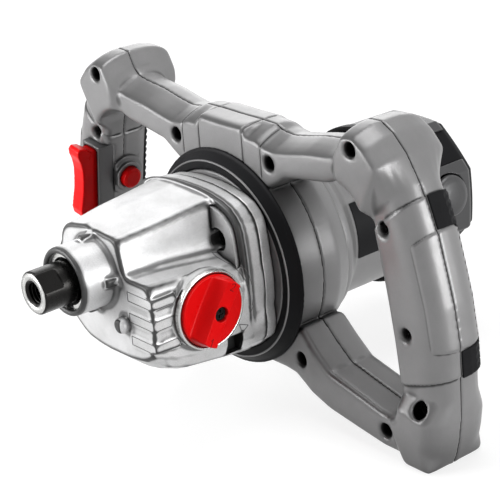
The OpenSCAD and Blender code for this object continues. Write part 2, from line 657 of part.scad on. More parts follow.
module fan_baffle() {
    color("#2d2e31") xtube(front_tube_d - 5.3, fan_d + 2, 144.4, 146.4, 0, motor_z);
}
module motor_bearings() {
    color("#c4c7ca") {
        bearing(118.5, 8, 10, 26, 0, motor_z, 8);
        bearing(276, 7, 8, 22, 0, motor_z, 8);
    }
}
module on_brush(k) {
    translate([264, 0, motor_z]) rotate([k * 180 - brush_tilt, 0, 0]) children();
}
module brush_holders() {
    color("#c9a44c") for (k = [0, 1]) on_brush(k) difference() {
        union() {
            box(-5.2, 5.2, 15, motor_d / 2 - 3.6, -6.8, 6.8);
            box(-7.4, 7.4, motor_d / 2 - 8, motor_d / 2 - 6, -8.6, 8.6);
        }
        box(-3.4, 3.4, 14, motor_d / 2, -5.2, 5.2);
    }
}
module carbon_brushes() {
    color("#232325") for (k = [0, 1]) on_brush(k) difference() {
        box(-3.3, 3.3, 12.2, 27, -5.1, 5.1);
        xcyl(commutator_d + 0.04, -5, 5);
    }
}
module brush_springs() {
    color("#a9abae") for (k = [0, 1]) on_brush(k) rotate([0, 0, 90])
        coil(2.2, 0.4, 5, 27, motor_d / 2 - 4.8);
}
module brush_caps() {
    r = motor_d / 2;
    color("#1b1b1d") for (k = [0, 1]) on_brush(k) {
        box(-3.2, 3.2, r - 4.7, r - 0.6, -5, 5);
        rotate([-90, 0, 0]) rotate_extrude($fn = 64) polygon([[0, r - 0.8], [12.4, r - 0.8], [12.4, r + 2],
            [11.4, r + 3.4], [8.6, r + 4.5], [4.6, r + 5.1], [0, r + 5.3]]);
    }
}
module rear_cover() {
    r = motor_d / 2;
    color("#1b1b1d") difference() {
        xturn(0, motor_z) polygon([[0, body_x - 2], [r + 3.4, body_x - 2], [r + 3.6, body_x - 1],
            [r + 3.4, body_x + 5.4], [r + 2.4, body_x + 7], [r + 0.6, body_x + 9], [r, rear_x - 7],
            [r - 1.6, rear_x - 3], [r - 5, rear_x], [0, rear_x]]);
        xcyl(motor_d + 2 * fit_gap, body_x - 3, body_x + 0.1, 0, motor_z);
        xcyl(motor_d - 6, body_x - 3, rear_x - 3.4, 0, motor_z);
        for (k = [0, 1]) on_brush(k) rotate([-90, 0, 0]) cylinder(d = 25.2, h = 60);
        for (a = [0:30:330]) on_motor() rotate([a + 15, 0, 0]) box(280, 300, 20, 36, -2, 2);
    }
    color("#1b1b1d") xtube(28, 22 + 2 * fit_gap, 275, rear_x - 3, 0, motor_z);
    color("#1b1b1d") on_motor() for (k = [0, 1]) rotate([k * 180 - brush_tilt, 0, 0]) difference() {
        box(254, 274, r - 5.8, r - 1.2, -10, 10);
        translate([264, 0, 0]) box(-5.4, 5.4, 30, 60, -7, 7);
    }
}
module rear_panel(a0, a1, x0, x1) {
    r = motor_d / 2;
    translate([x0, 0, motor_z]) rotate([a0, 0, 0]) rotate([0, 90, 0]) rotate([0, 0, 90])
        rotate_extrude(angle = a1 - a0, $fn = 96)
            polygon([[r - 0.2, 0], [r + 2.2, 0], [r + 2.6, 1], [r + 2, x1 - x0 - 2], [r + 1, x1 - x0],
                [r - 0.2, x1 - x0]]);
}
module rear_panels() {
    color("#8b8d90") difference() {
        union() {
            rear_panel(60, 120, body_x + 9.4, rear_x - 7);
            for (m = [0, 1]) mirror([0, m, 0]) rear_panel(-25, 32, body_x + 9.4, rear_x - 7);
        }
        xturn(0, motor_z) polygon([[0, body_x + 6], [motor_d / 2 + 0.64, body_x + 6],
            [motor_d / 2 + 0.64, body_x + 9], [motor_d / 2 + 0.03, rear_x - 6.9], [0, rear_x - 6.9]]);
        for (k = [0, 1]) on_brush(k) rotate([-90, 0, 0]) cylinder(d = 27, h = 60);
    }
}

// Frame stations: inner point, outer point, front and rear X, profile set
BLOCK = 0;
BEAM = 1;
BOSS = 2;
GRIP = 3;
FOOT = 4;
SOLE = 5;
LOW = 6;
UNDER = 7;
// Each profile: front X, rear X, front-outer a b n, rear-outer a b, inner radii
prof = [[131, 165, 3, 6, 2, 6, 10, 2.5, 4],
    [131, 165, 6.5, 16, 1.25, 8, 13, 3, 5],
    [127, 178, 6, 18, 1.5, 9, 22, 3, 8],
    [134, 171, 15, 13.6, 2, 15, 15, 5, 10],
    [128, 171, 10, 16, 1.8, 10, 14, 4, 8],
    [128, 171, 3, 3, 2, 3, 5, 3, 8],
    [130, 165, 4, 6, 2, 6, 10, 3, 5],
    [131.1, 165, 4, 6, 2, 6, 10, 3, 5]];
half = [[0, 34, 0, 59.5, BLOCK], [18.5, 34, 18.5, 59.8, BLOCK], [22, 32.5, 22, 59.6, BEAM],
    [30, 30, 30, 59.4, BEAM], [37, 27, 35.6, 57, BEAM], [44, 31, 44, 56, BEAM], [53, 37, 55, 57.8, BEAM],
    [70, 39.8, 70, 61, BEAM],
    [86, 42, 87, 63, BEAM], [93, 45, 94, 64.5, BEAM], [98, 46.8, 98, 68, BOSS],
    [104, 44.5, 103, 77.4, BOSS],
    [108.5, 41.5, 113, 78, BOSS], [111.6, 38.6, 122, 73, BOSS], [114, 34, 130.5, 64.6, BOSS],
    [115.6, 28, 139, 51, GRIP], [116.5, 24.5, 142.2, 44, GRIP], [117.4, 21, 145, 37, GRIP],
    [118.8, 14.3, 148.8, 27, GRIP], [118.95, 13.65, 149.1, 26.1, GRIP], [122, -1, 155.2, 3, GRIP],
    [124.5, -14, 158.9, -12, GRIP], [128, -35.75, 162.35, -35.1, GRIP], [128.1, -36.5, 162.4, -36, GRIP],
    [129.9, -51, 163, -51, GRIP], [131.5, -63, 163, -64, GRIP], [132.3, -71, 162.4, -76, FOOT],
    [131.6, -76, 160.6, -88, FOOT], [130.4, -78, 158.2, -97, FOOT], [129, -78.8, 155.6, -103.5, SOLE],
    [127, -79.2, 138.6, -103.5, SOLE], [125, -79.3, 135.2, -100, LOW], [120, -78.6, 121, -100, LOW],
    [100, -73.6, 100, -96.7, LOW], [80, -68.6, 78, -93, LOW], [68, -58.8, 64, -88, LOW],
    [57.6, -49, 50, -80.6, UNDER], [41, -55, 41, -79.5, UNDER], [0, -66, 0, -79.5, UNDER]];
function shift_y(y) = y + half_dw * min(1, max(0, (y - 62) / 40));
function shift_z(z) = z > 66 ? z + crown_h - 78 : z < -99.2 ? z - (foot_drop - 103.5) : z;
function side_st(s, m) = [m * shift_y(s[0]), shift_z(s[1]), m * shift_y(s[2]), shift_z(s[3]), s[4]];
loop = concat([for (s = half) side_st(s, 1)], [for (i = [len(half) - 2:-1:1]) side_st(half[i], -1)]);
function rear_of(p) = p == GRIP ? grip_rear - insert_t : p == FOOT || p == SOLE ? grip_rear : prof[p][1];
// Quarter of a rounded corner from the flat face to the side
function corner(a, b, n, k) = [for (i = [0:k]) let(t = 90 * i / k)
    [a * pow(sin(t), 2 / n), b * pow(cos(t), 2 / n)]];
function face(st, t, rear, k1 = 3, k2 = 5) = let(p = prof[st[4]], w = norm([st[2] - st[0], st[3] - st[1]]),
    x = rear ? rear_of(st[4]) - t : p[0] + t, s = rear ? -1 : 1,
    room = abs(seam_x - x) - 0.6,
    ri = min(room, max(0.8, (rear ? p[8] : p[7]) - t)), a = max(0.8, (rear ? p[5] : p[2]) - t),
    b = min(room, max(0.8, (rear ? p[6] : p[3]) - t)), n = rear ? 2 : p[4],
    c1 = corner(ri, ri, 2, k1), c2 = corner(a, b, n, k2))
    concat([for (i = [k1:-1:0]) [t + ri - c1[i][0], x + s * (ri - c1[i][1])]],
        [for (i = [0:k2]) [w - t - a + c2[i][0], x + s * (b - c2[i][1])]]);
function width(st) = norm([st[2] - st[0], st[3] - st[1]]);
function shell_ring(st, rear) = let(o = face(st, 0, rear), i = face(st, wall, rear), w = width(st),
    n = len(i)) concat([[0, seam_x]], o, [[w, seam_x], [w - wall, seam_x]],
    [for (j = [n - 1:-1:0]) i[j]], [[wall, seam_x]]);
function place(st, q) = let(w = width(st)) [q[1], st[0] + q[0] * (st[2] - st[0]) / w,
    st[1] + q[0] * (st[3] - st[1]) / w];
module sweep_loop(rings, flip) {
    m = len(rings);
    n = len(rings[0]);
    pts = [for (i = [0:m - 1]) for (q = rings[i]) place(loop[i], q)];
    faces = [for (i = [0:m - 1]) for (j = [0:n - 1]) let(i2 = (i + 1) % m, j2 = (j + 1) % n,
        a = i * n + j, b = i2 * n + j, c = i2 * n + j2, d = i * n + j2)
        each flip ? [[a, b, c], [a, c, d]] : [[a, c, b], [a, d, c]]];
    polyhedron(points = pts, faces = faces, convexity = 10);
}
module sweep_open(sts, rings, flip) {
    m = len(rings);
    n = len(rings[0]);
    pts = [for (i = [0:m - 1]) for (q = rings[i]) place(sts[i], q)];
    faces = [for (i = [0:m - 2]) for (j = [0:n - 1]) let(j2 = (j + 1) % n,
        a = i * n + j, b = (i + 1) * n + j, c = (i + 1) * n + j2, d = i * n + j2)
        each flip ? [[a, b, c], [a, c, d]] : [[a, c, b], [a, d, c]]];
    caps = [for (e = [0, 1]) for (j = [0:n / 2 - 2]) let(o = e * (m - 1) * n, k = n - 1 - j)
        each (e == 0) == flip ? [[o + j, o + j + 1, o + k - 1], [o + j, o + k - 1, o + k]]
            : [[o + j, o + k - 1, o + j + 1], [o + j, o + k, o + k - 1]]];
    polyhedron(points = pts, faces = concat(faces, caps), convexity = 10);
}
// Screws: Y, Z, front X and rear X of the column, used on far side
grip_back = grip_rear - insert_t - wall + 1;
frame_holes = [[110, 67, 129.5, 176, 1], [40.5, 43, 133.5, 163, 1], [125.3, 25.6, 136.8, grip_back, 1],
    [138.2, -29.5, 136.6, grip_back, 0], [148, -69, 137, grip_back, 1], [123, -89.2, 132.5, 163, 1],
    [56.2, -68.6, 132.5, 163, 1]];
hole_list = [for (h = frame_holes) for (m = [1, -1]) if (m < 0 || h[4] > 0)
    [m * shift_y(h[0]), shift_z(h[1]), h[2], h[3]]];
head_x = 140;

// Insert section: rear strip, with a tab out to the seam at both ends
function mix(p, q, f) = p + (q - p) * f;
function insert_line(st, t, f) = let(r = face(st, t, true), w = width(st), p = r[7], q = r[8], e = r[9])
    concat([for (i = [1:7]) r[i]], [mix(p, q, f > 0.5 ? 1 : 0.08), f > 0.5 ? e : mix(p, q, 0.16),
        f > 0.5 ? [w - t, seam_x + 0.4] : mix(p, q, 0.24)]);
insert_first = 16;
insert_tabs = [1, 1, 1, 0, 0, 0, 0, 1, 1];
module grip_insert(m) {
    sts = [for (i = [0:len(insert_tabs) - 1]) side_st(half[insert_first + i], m)];
    rings = [for (i = [0:len(sts) - 1]) let(a = insert_line(sts[i], -insert_t, insert_tabs[i]),
        b = insert_line(sts[i], -0.1, insert_tabs[i])) concat(a, [for (q = [len(b) - 1:-1:0]) b[q]])];
    sweep_open(sts, rings, m < 0);
}
module frame_front_shell() {
    color("#86898c") difference() {
        union() {
            sweep_loop([for (st = loop) shell_ring(st, false)], true);
            difference() {
                xcyl(band_d, 131, seam_x, 0, motor_z);
                box(120, 180, -80, 80, -120, -79.5);
            }
            for (h = hole_list) xcyl(12.4, h[2], seam_x, h[0], h[1]);
        }
        xcyl(front_tube_d + 2 * slip_gap, 120, 160, 0, motor_z);
        for (h = hole_list) {
            xcyl(screw_pocket_d, 120, head_x, h[0], h[1]);
            xcyl(4.2, 138, 150, h[0], h[1]);
        }
        on_grip() box(120, 140 + fit_gap, -16.4 - fit_gap, 0.4 + fit_gap, -29 - fit_gap, 21 + fit_gap);
        bezel_seat();
    }
}
module frame_rear_shell() {
    color("#86898c") difference() {
        union() {
            sweep_loop([for (st = loop) shell_ring(st, true)], false);
            difference() {
                xturn(0, motor_z) polygon([[0, seam_x], [band_d / 2, seam_x], [band_d / 2, 160],
                    [band_d / 2 - 1, 162], [55.6, 172], [0, 172]]);
                box(120, 180, -80, 80, -120, -79.5);
            }
            for (h = hole_list) xcyl(9, seam_x, h[3], h[0], h[1]);
            on_grip() for (z = [-32, 2]) box(160.1, grip_rear - insert_t - wall + 0.6, -5, 5, z, z + 3);
        }
        xcyl(front_tube_d + 2 * slip_gap, 140, 180, 0, motor_z);
        for (h = hole_list) xcyl(4.1, 140, 161, h[0], h[1]);
        bezel_seat();
        xcyl(10, 160, 180, 146 + half_dw, -92);
    }
}
module grip_insert_near() {
    color("#1b1b1d") grip_insert(-1);
}
module grip_insert_far() {
    color("#1b1b1d") grip_insert(1);
}
module frame_screws() {
    color("#3a3b3e") for (h = hole_list) difference() {
        union() {
            xcyl(7.6, head_x - 3, head_x, h[0], h[1]);
            xcyl(4, head_x - 0.1, 160, h[0], h[1]);
        }
        for (a = [20, 110]) translate([0, h[0], h[1]]) rotate([a, 0, 0])
            box(head_x - 4, head_x - 1.4, -2.2, 2.2, -0.5, 0.5);
    }
}

// Trigger group
pad_y = -8;
module trigger_guide() {
    color("#4b4d50") on_grip() difference() {
        box(131, 140, -16.4, 0.4, -29, 21);
        box(130, 141, pad_y - trigger_w / 2 - run_gap, pad_y + trigger_w / 2 + run_gap, -26.6, 18.8);
    }
}
module trigger() {
    color("#c8201b") on_grip() {
        translate([0, pad_y + trigger_w / 2, 0]) rotate([90, 0, 0]) linear_extrude(trigger_w)
            polygon([[133.6, 18.3], [125, 18.3], [119.5, 21.4], [114.4, 22], [112.4, 20.2], [112.6, 17],
                [115, 12.6], [116.6, 7], [117, 0], [116.6, -8], [115.4, -15], [114.6, -20], [116, -24.4],
                [120, -26.1], [133.6, -26.1]]);
        box(133.5, 140.3, -11, pad_y + trigger_w / 2, -26.1, 18.3);
        box(140.2, 142.4, -10.8, 2.4, -28.4, 20.2);
    }
}
module trigger_spring() {
    color("#b9bbbe") on_grip() translate([0, -2.6, -20]) coil(3, 0.5, 4, 142.45, 149.9);
}
module switch_body() {
    color("#2d2e31") on_grip() {
        box(150, 160, -9, 10.5, -38, 10);
        box(148.2, 150.1, -8, -2, -6, 4);
        for (z = [-34, -26]) box(153, 157, 10.4, 12.4, z, z + 4);
    }
}
module lock_bezel() {
    color("#4b4d50") on_button() difference() {
        union() {
            rotate([-90, 0, 0]) {
                translate([0, 0, -2.8]) cylinder(d = 25, h = 2.75);
                translate([0, 0, -5.6]) cylinder(d = 19, h = 8.6);
            }
            box(140.5 - button_x, 160.5 - button_x, -0.95, -0.05, -17.5, 10.5);
        }
        rotate([-90, 0, 0]) {
            translate([0, 0, -4.4]) cylinder(d = 16.2, h = 6.4);
            translate([0, 0, -8]) cylinder(d = button_d + 2 * run_gap, h = 6);
        }
        box(-20, 140.5 - button_x, -10, 10, -20, 20);
    }
}
module lock_button() {
    color("#c8201b") on_button() rotate([-90, 0, 0]) {
        translate([0, 0, -9.2]) cylinder(d = button_d, h = 6.4);
        translate([0, 0, -9.8]) cylinder(d = button_d - 2, h = 1);
        translate([0, 0, -4.1]) cylinder(d = 15.4, h = 1.3);
    }
}
module lock_spring() {
    color("#b9bbbe") on_button() rotate([0, 0, 90]) coil(4, 0.4, 2.5, -2.7, 1.95);
}

gearbox_housing();
gearbox_plate();
gearbox_gasket();
bearing_plate();
housing_screws();
spindle();
spindle_low_gear();
spindle_high_gear();
spindle_seal();
spindle_circlip();
spindle_front_bearing();
spindle_bearing_tube();
spindle_rear_bearing();
layshaft();
sliding_cluster();
layshaft_bearings();
first_shaft();
first_shaft_bushes();
shift_fork();
fork_rod();
selector_knob();
selector_shaft();
knob_screw();
selector_o_ring();
detent_ball();
detent_spring();
front_ring();
motor_housing();
label_plate();
stator_core();
field_windings();
armature_shaft();
armature_core();
armature_winding();
commutator();
fan();
fan_baffle();
motor_bearings();
brush_holders();
carbon_brushes();
brush_springs();
brush_caps();
rear_cover();
rear_panels();
frame_front_shell();
frame_rear_shell();
grip_insert_near();
grip_insert_far();
frame_screws();
trigger_guide();
trigger();
trigger_spring();
switch_body();
lock_bezel();
lock_button();
lock_spring();
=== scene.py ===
import math

import bmesh
import bpy
import numpy as np
from mathutils import Matrix, Vector
from mathutils.bvhtree import BVHTree
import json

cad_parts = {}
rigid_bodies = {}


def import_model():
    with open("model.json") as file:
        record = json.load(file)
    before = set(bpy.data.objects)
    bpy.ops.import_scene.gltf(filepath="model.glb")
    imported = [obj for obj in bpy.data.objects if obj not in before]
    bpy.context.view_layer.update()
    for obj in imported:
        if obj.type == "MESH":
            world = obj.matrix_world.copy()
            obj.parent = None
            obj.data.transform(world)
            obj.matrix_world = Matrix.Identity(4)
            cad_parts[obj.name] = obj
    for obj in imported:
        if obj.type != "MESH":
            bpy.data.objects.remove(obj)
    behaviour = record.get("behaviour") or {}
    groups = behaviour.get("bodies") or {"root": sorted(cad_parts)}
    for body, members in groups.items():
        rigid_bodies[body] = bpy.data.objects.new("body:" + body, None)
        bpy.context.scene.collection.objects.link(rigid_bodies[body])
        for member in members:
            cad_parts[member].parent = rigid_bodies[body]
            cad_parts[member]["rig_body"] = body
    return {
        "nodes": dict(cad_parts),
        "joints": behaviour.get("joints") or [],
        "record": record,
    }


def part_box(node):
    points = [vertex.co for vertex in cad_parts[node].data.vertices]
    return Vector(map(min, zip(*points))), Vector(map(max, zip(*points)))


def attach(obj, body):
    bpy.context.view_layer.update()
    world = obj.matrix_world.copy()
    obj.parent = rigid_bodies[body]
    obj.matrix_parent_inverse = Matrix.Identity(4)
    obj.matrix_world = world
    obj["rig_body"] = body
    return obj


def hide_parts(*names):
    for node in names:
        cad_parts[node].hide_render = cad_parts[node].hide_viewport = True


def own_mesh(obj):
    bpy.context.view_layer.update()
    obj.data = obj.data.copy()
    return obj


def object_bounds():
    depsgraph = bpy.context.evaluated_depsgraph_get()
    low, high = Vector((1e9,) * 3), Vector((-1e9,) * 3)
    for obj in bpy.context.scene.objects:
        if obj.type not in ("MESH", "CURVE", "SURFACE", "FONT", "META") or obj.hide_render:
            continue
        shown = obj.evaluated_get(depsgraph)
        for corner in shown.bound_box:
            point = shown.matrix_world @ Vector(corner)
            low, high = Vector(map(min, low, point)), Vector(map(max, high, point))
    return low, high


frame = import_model()
cad_lo, cad_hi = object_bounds()
NODES = frame["nodes"]
BODY = {name: ob["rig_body"] for name, ob in NODES.items()}
SLOT = {part["node"]: part["material_slot"] for part in frame["record"]["subparts"]}
JOINTS = {joint["name"]: joint for joint in frame["joints"]}
MM = 0.001
scene = bpy.context.scene

# Places of the frame, in mm as all sizes below: the spindle points to -X, and the handles lie along Y
MOTOR_Z = JOINTS["armature_spin"]["pos_m"][2] / MM
SEAM_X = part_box("frame_front_shell")[1][0] / MM
KNOB_X, _, KNOB_Z = (v / MM for v in JOINTS["knob_turn"]["pos_m"])
KNOB_BACK_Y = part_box("selector_knob")[1][1] / MM

# Camera, fitted to the photograph: angles in degrees, place in metres, lens and sensor in mm
CAMERA_AZIMUTH, CAMERA_ELEVATION, CAMERA_ROLL = -38.36, 22.23, -4.69
CAMERA_PLACE = (-0.4460, -0.7480, 0.3674)
CAMERA_LENS, CAMERA_SENSOR = 129.613, 36
CAMERA_NEAR, CAMERA_FAR = 0.02, 20


def make_camera():
    az, el, roll = (math.radians(a) for a in (CAMERA_AZIMUTH, CAMERA_ELEVATION, CAMERA_ROLL))
    back = Vector((math.sin(az) * math.cos(el), -math.cos(az) * math.cos(el), math.sin(el)))
    level = (-back).cross(Vector((0, 0, 1))).normalized()
    upright = back.cross(level)
    right = level * math.cos(roll) + upright * math.sin(roll)
    up = upright * math.cos(roll) - level * math.sin(roll)
    data = bpy.data.cameras.new("photo_camera")
    data.sensor_width = CAMERA_SENSOR
    data.lens = CAMERA_LENS
    data.clip_start = CAMERA_NEAR
    data.clip_end = CAMERA_FAR
    camera = bpy.data.objects.new("photo_camera", data)
    scene.collection.objects.link(camera)
    place = Matrix((right, up, back)).transposed().to_4x4()
    place.translation = Vector(CAMERA_PLACE)
    camera.matrix_world = place
    scene.camera = camera


# Node trees
def grey(value):
    return (value, value, value)


BLACK, WHITE = grey(0), grey(1)


def tone(base, share):
    """A colour made lighter or darker."""
    return tuple(min(1.0, c * share) for c in base)


class Nodes:
    """Adds nodes to a node tree. An input is a number, a colour or another node's output."""

    def __init__(self, tree):
        self.tree = tree

    def put(self, socket, value):
        if isinstance(value, bpy.types.NodeSocket):
            self.tree.links.new(value, socket)
        else:
            socket.default_value = value

    def add(self, kind, **inputs):
        node = self.tree.nodes.new("ShaderNode" + kind)
        for name, value in inputs.items():
            self.put(node.inputs[name.replace("_", " ")], value)
        return node

    def join(self, kind, *inputs):
        """A node that joins shaders, with its inputs in their order."""
        node = self.add(kind)
        for socket, value in zip(node.inputs, inputs):
            self.put(socket, value)
        return node.outputs[0]

    def math(self, operation, a, b, c=0.0, clamp=False):
        node = self.add("Math")
        node.operation = operation
        node.use_clamp = clamp
        for socket, value in zip(node.inputs, (a, b, c)):
            self.put(socket, value)
        return node.outputs[0]

    def vector_math(self, operation, a, b=(0, 0, 0)):
        node = self.add("VectorMath")
        node.operation = operation
        self.put(node.inputs[0], a)
        self.put(node.inputs[1], b)
        return node.outputs["Value"]

    def place(self):
        return self.add("TexCoord").outputs["Object"]


# The materials by name
M = {}
ROUGH_SPREAD = 0.16


class Mat(Nodes):
    """Builds one material round the Principled shader and keeps it in M."""

    def __init__(self, name):
        M[name] = bpy.data.materials.new(name)
        M[name].use_nodes = True
        super().__init__(M[name].node_tree)
        self.shader = self.tree.nodes["Principled BSDF"]
        self.here = self.place()

    def noise(self, scale, detail=3.0, rough=0.55, stretch=None):
        where = self.here
        if stretch:
            where = self.add("Mapping", Vector=where, Scale=stretch).outputs[0]
        node = self.add("TexNoise", Vector=where, Scale=scale, Detail=detail, Roughness=rough)
        return node.outputs["Fac"]

    def ramp(self, factor, *stops):
        """A colour that changes with a value. The stops are (value, colour)."""
        node = self.add("ValToRGB")
        elements = node.color_ramp.elements
        while len(elements) < len(stops):
            elements.new(0.5)
        for element, (position, colour) in zip(elements, stops):
            element.position = position
            element.color = (*colour, 1)
        self.put(node.inputs[0], factor)
        return node.outputs[0]

    def mix(self, factor, a, b, kind="MIX"):
        node = self.add("Mix")
        node.data_type = "RGBA"
        node.blend_type = kind
        # Sockets 6 and 7 are the two colours, and output 2 is the mixed one
        for index, value in ((0, factor), (6, a), (7, b)):
            self.put(node.inputs[index], (*value, 1) if isinstance(value, tuple) else value)
        return node.outputs[2]

    def times(self, a, b):
        return self.mix(1.0, a, b, "MULTIPLY")

    def occlusion(self, distance, samples):
        node = self.add("AmbientOcclusion", Distance=distance)
        node.samples = samples
        return node.outputs["AO"]

    def kept(self, name):
        """The value of this name that keep_crease left on the mesh."""
        node = self.add("Attribute")
        node.attribute_name = name
        return node.outputs["Fac"]

    def geometry(self, name):
        return self.add("NewGeometry").outputs[name]

    def uneven(self, rough, scale, detail=3.0):
        """A roughness that varies a little about its middle."""
        return self.math("MULTIPLY_ADD", self.noise(scale, detail), ROUGH_SPREAD, rough - ROUGH_SPREAD / 2)

    def bump(self, height, strength, distance):
        node = self.add("Bump", Height=height, Strength=strength, Distance=distance)
        self.put(self.shader.inputs["Normal"], node.outputs[0])

    def done(self, colour, rough, metallic, **more):
        inputs = {"Base_Color": colour, "Roughness": rough, "Metallic": metallic, **more}
        for name, value in inputs.items():
            self.put(self.shader.inputs[name.replace("_", " ")], value)


# Materials
def cast_aluminium(name, low, high):
    """Grey blotches with grit, and painted shade in corners and, in ragged dark bands, along ridges and in
    folds.
    """
    k = Mat(name)
    blotch = k.ramp(k.noise(60, detail=4), (0.3, grey(low)), (0.7, (high, high, high * 1.01)))
    grit = k.ramp(k.noise(2600, detail=2, rough=0.7), (0.36, grey(0.6)), (0.56, WHITE))
    colour = k.mix(0.5, blotch, k.times(blotch, grit))
    # Painted shade in corners, from ambient occlusion
    corners = k.ramp(k.occlusion(distance=0.012, samples=6), (0.2, grey(0.25)), (0.8, WHITE))
    colour = k.times(colour, corners)
    # Ragged dark bands along ridges and in folds: painted shade
    ragged = k.math("MULTIPLY_ADD", k.noise(2200, rough=0.8), 0.10, -0.05)
    crease = k.math("ADD", k.math("MULTIPLY", k.kept("crease"), 0.5), k.math("ADD", ragged, 0.5))
    crease_shade = k.ramp(crease, (0.30, grey(0.30)), (0.44, WHITE), (0.60, WHITE), (0.82, grey(0.08)))
    rough = k.math("MULTIPLY_ADD", k.noise(300), 0.2, 0.30)
    pits = k.math("ADD", k.noise(1500, rough=0.7), k.math("MULTIPLY", k.noise(420, detail=2), 0.7))
    k.bump(pits, strength=0.35, distance=0.0002)
    k.done(k.times(colour, crease_shade), rough, 0.38, Specular_IOR_Level=0.35)


def machined(name, base, rough=0.28, metallic=1.0, rings=True, spread=0.12):
    """Bare metal with fine tool marks, in rings round the X axis or along it, and faint stains."""
    k = Mat(name)
    marks = k.noise(900, detail=2, rough=0.6, stretch=(6.0, 0.25, 0.25) if rings else (0.25, 0.25, 6.0))
    colour = k.ramp(marks, (0.35, tone(base, 1 - spread)), (0.65, tone(base, 1 + spread)))
    stain = k.ramp(k.noise(45, detail=4), (0.35, grey(0.82)), (0.6, WHITE))
    k.bump(marks, strength=0.15, distance=0.0001)
    k.done(k.times(colour, stain), k.uneven(rough, 240), metallic)


# The direction in which the slopes of the frame's bevels face, where the grey plastic gets painted shade
BEVEL_NORMAL = (-0.72, 0, 0.69)


def moulded(name, base, rough, grain=1800, depth=0.12, spread=0.07, corners=0.6, gloss=0.5, metal=0.0,
            bevel_shade=0.0):
    """Plastic or rubber with a grain, a painted highlight on convex edges, painted shade in corners, folds
    and bevels, and dark seam lines.
    """
    k = Mat(name)
    colour = k.ramp(k.noise(40, detail=4), (0.3, tone(base, 1 - spread)), (0.7, tone(base, 1 + spread)))
    fleck = k.ramp(k.noise(grain * 1.3, detail=2, rough=0.8), (0.38, grey(0.86)), (0.6, WHITE))
    colour = k.mix(0.7, colour, k.times(colour, fleck))
    # Painted shade in corners, from ambient occlusion; corners sets how dark it gets
    dark = k.ramp(k.occlusion(distance=0.035, samples=8), (0.2, grey(1 - corners)), (0.9, WHITE))
    colour = k.times(colour, dark)
    # Painted shade in folds and grooves, and the dark line of a seam
    crease = k.math("MULTIPLY_ADD", k.kept("crease"), 0.5, 0.5)
    colour = k.times(colour, k.ramp(crease, (0.25, grey(0.14)), (0.45, WHITE)))
    # Painted shade in hollows, and on slopes that face BEVEL_NORMAL
    if bevel_shade:
        hollow = k.math("MULTIPLY", k.kept("hollow"), -1.0)
        colour = k.times(colour, k.ramp(hollow, (0.1, WHITE), (0.8, grey(0.30))))
        slope = k.vector_math("DOT_PRODUCT", k.geometry("Normal"), BEVEL_NORMAL)
        colour = k.times(colour, k.ramp(slope, (0.74, WHITE), (0.96, grey(1 - bevel_shade))))
    # A painted highlight on convex edges, lighter than the base
    edges = k.ramp(k.geometry("Pointiness"), (0.52, BLACK), (0.60, WHITE))
    edge_highlight = tuple(min(1.0, c * 1.2 + 0.01) for c in base)
    colour = k.mix(k.math("MULTIPLY", edges, 0.3), colour, edge_highlight)
    k.bump(k.noise(grain, rough=0.6), strength=depth, distance=0.0002)
    k.done(colour, k.uneven(rough, 130, detail=4), metal, Specular_IOR_Level=gloss)


def make_materials():
    satin = {"corners": 0.7, "gloss": 0.3, "metal": 0.3}
    smooth = {"grain": 3000, "depth": 0.02, "spread": 0.04, "corners": 0.45}
    cast_aluminium("cast_aluminium", 0.60, 0.78)
    # A dark copy of the casting: painted shade for the pocket's walls and the engraved lines
    cast_aluminium("cast_shadow", 0.10, 0.16)
    machined("machined_steel", (0.56, 0.56, 0.55), 0.26)
    # Near black: a painted dark reflection, for steel that is bright itself
    machined("blackened_steel", (0.016, 0.0155, 0.015), metallic=0.9)
    machined("gear_steel", (0.42, 0.43, 0.44), 0.3, rings=False)
    machined("bearing_steel", (0.70, 0.71, 0.72), 0.16)
    machined("brass", (0.70, 0.54, 0.28), 0.25)
    machined("bronze", (0.58, 0.42, 0.24), 0.36)
    machined("copper", (0.70, 0.38, 0.18), 0.3, rings=False, spread=0.25)
    machined("core_steel", (0.28, 0.28, 0.29), 0.45)
    moulded("grey_plastic", (0.25, 0.248, 0.25), 0.34, 2600, 0.10, corners=0.8, gloss=0.3, metal=0.35,
            bevel_shade=0.6)
    moulded("dark_plastic", (0.15, 0.15, 0.152), 0.36, **satin)
    moulded("panel_plastic", (0.075, 0.075, 0.077), 0.36, **satin)
    moulded("black_plastic", (0.008, 0.008, 0.009), 0.5, corners=0.4, gloss=0.08)
    moulded("black_rubber", (0.009, 0.009, 0.010), 0.65, 1200, 0.25, corners=0.5, gloss=0.08)
    moulded("red_plastic", (0.86, 0.003, 0.004), 0.3, gloss=0.12, **smooth)
    moulded("red_shade", (0.30, 0.002, 0.003), 0.4, gloss=0.08, **smooth)
    moulded("label_black", (0.006, 0.006, 0.007), 0.4, 3000, 0.01, 0.1, corners=0.2, gloss=0.08)
    moulded("carbon", (0.05, 0.05, 0.052), 0.55)


# Mesh tools
def link(name, mesh):
    ob = bpy.data.objects.new(name, mesh)
    scene.collection.objects.link(ob)
    return ob


def mesh_from(name, verts, faces, smooth=True):
    """A mesh object from vertices in metres, with its normals outwards."""
    me = bpy.data.meshes.new(name)
    me.from_pydata([tuple(v) for v in verts], [], faces)
    me.validate()
    bm = bmesh.new()
    bm.from_mesh(me)
    bmesh.ops.recalc_face_normals(bm, faces=bm.faces)
    bm.to_mesh(me)
    bm.free()
    me.polygons.foreach_set("use_smooth", [smooth] * len(me.polygons))
    return link(name, me)


def coords(me):
    co = np.empty(len(me.vertices) * 3)
    me.vertices.foreach_get("co", co)
    return co.reshape(-1, 3)


def set_coords(me, co):
    me.vertices.foreach_set("co", co.astype(np.float32).ravel())
    me.update()


def normals(me):
    no = np.empty(len(me.vertices) * 3, np.float32)
    me.vertex_normals.foreach_get("vector", no)
    return no.reshape(-1, 3)


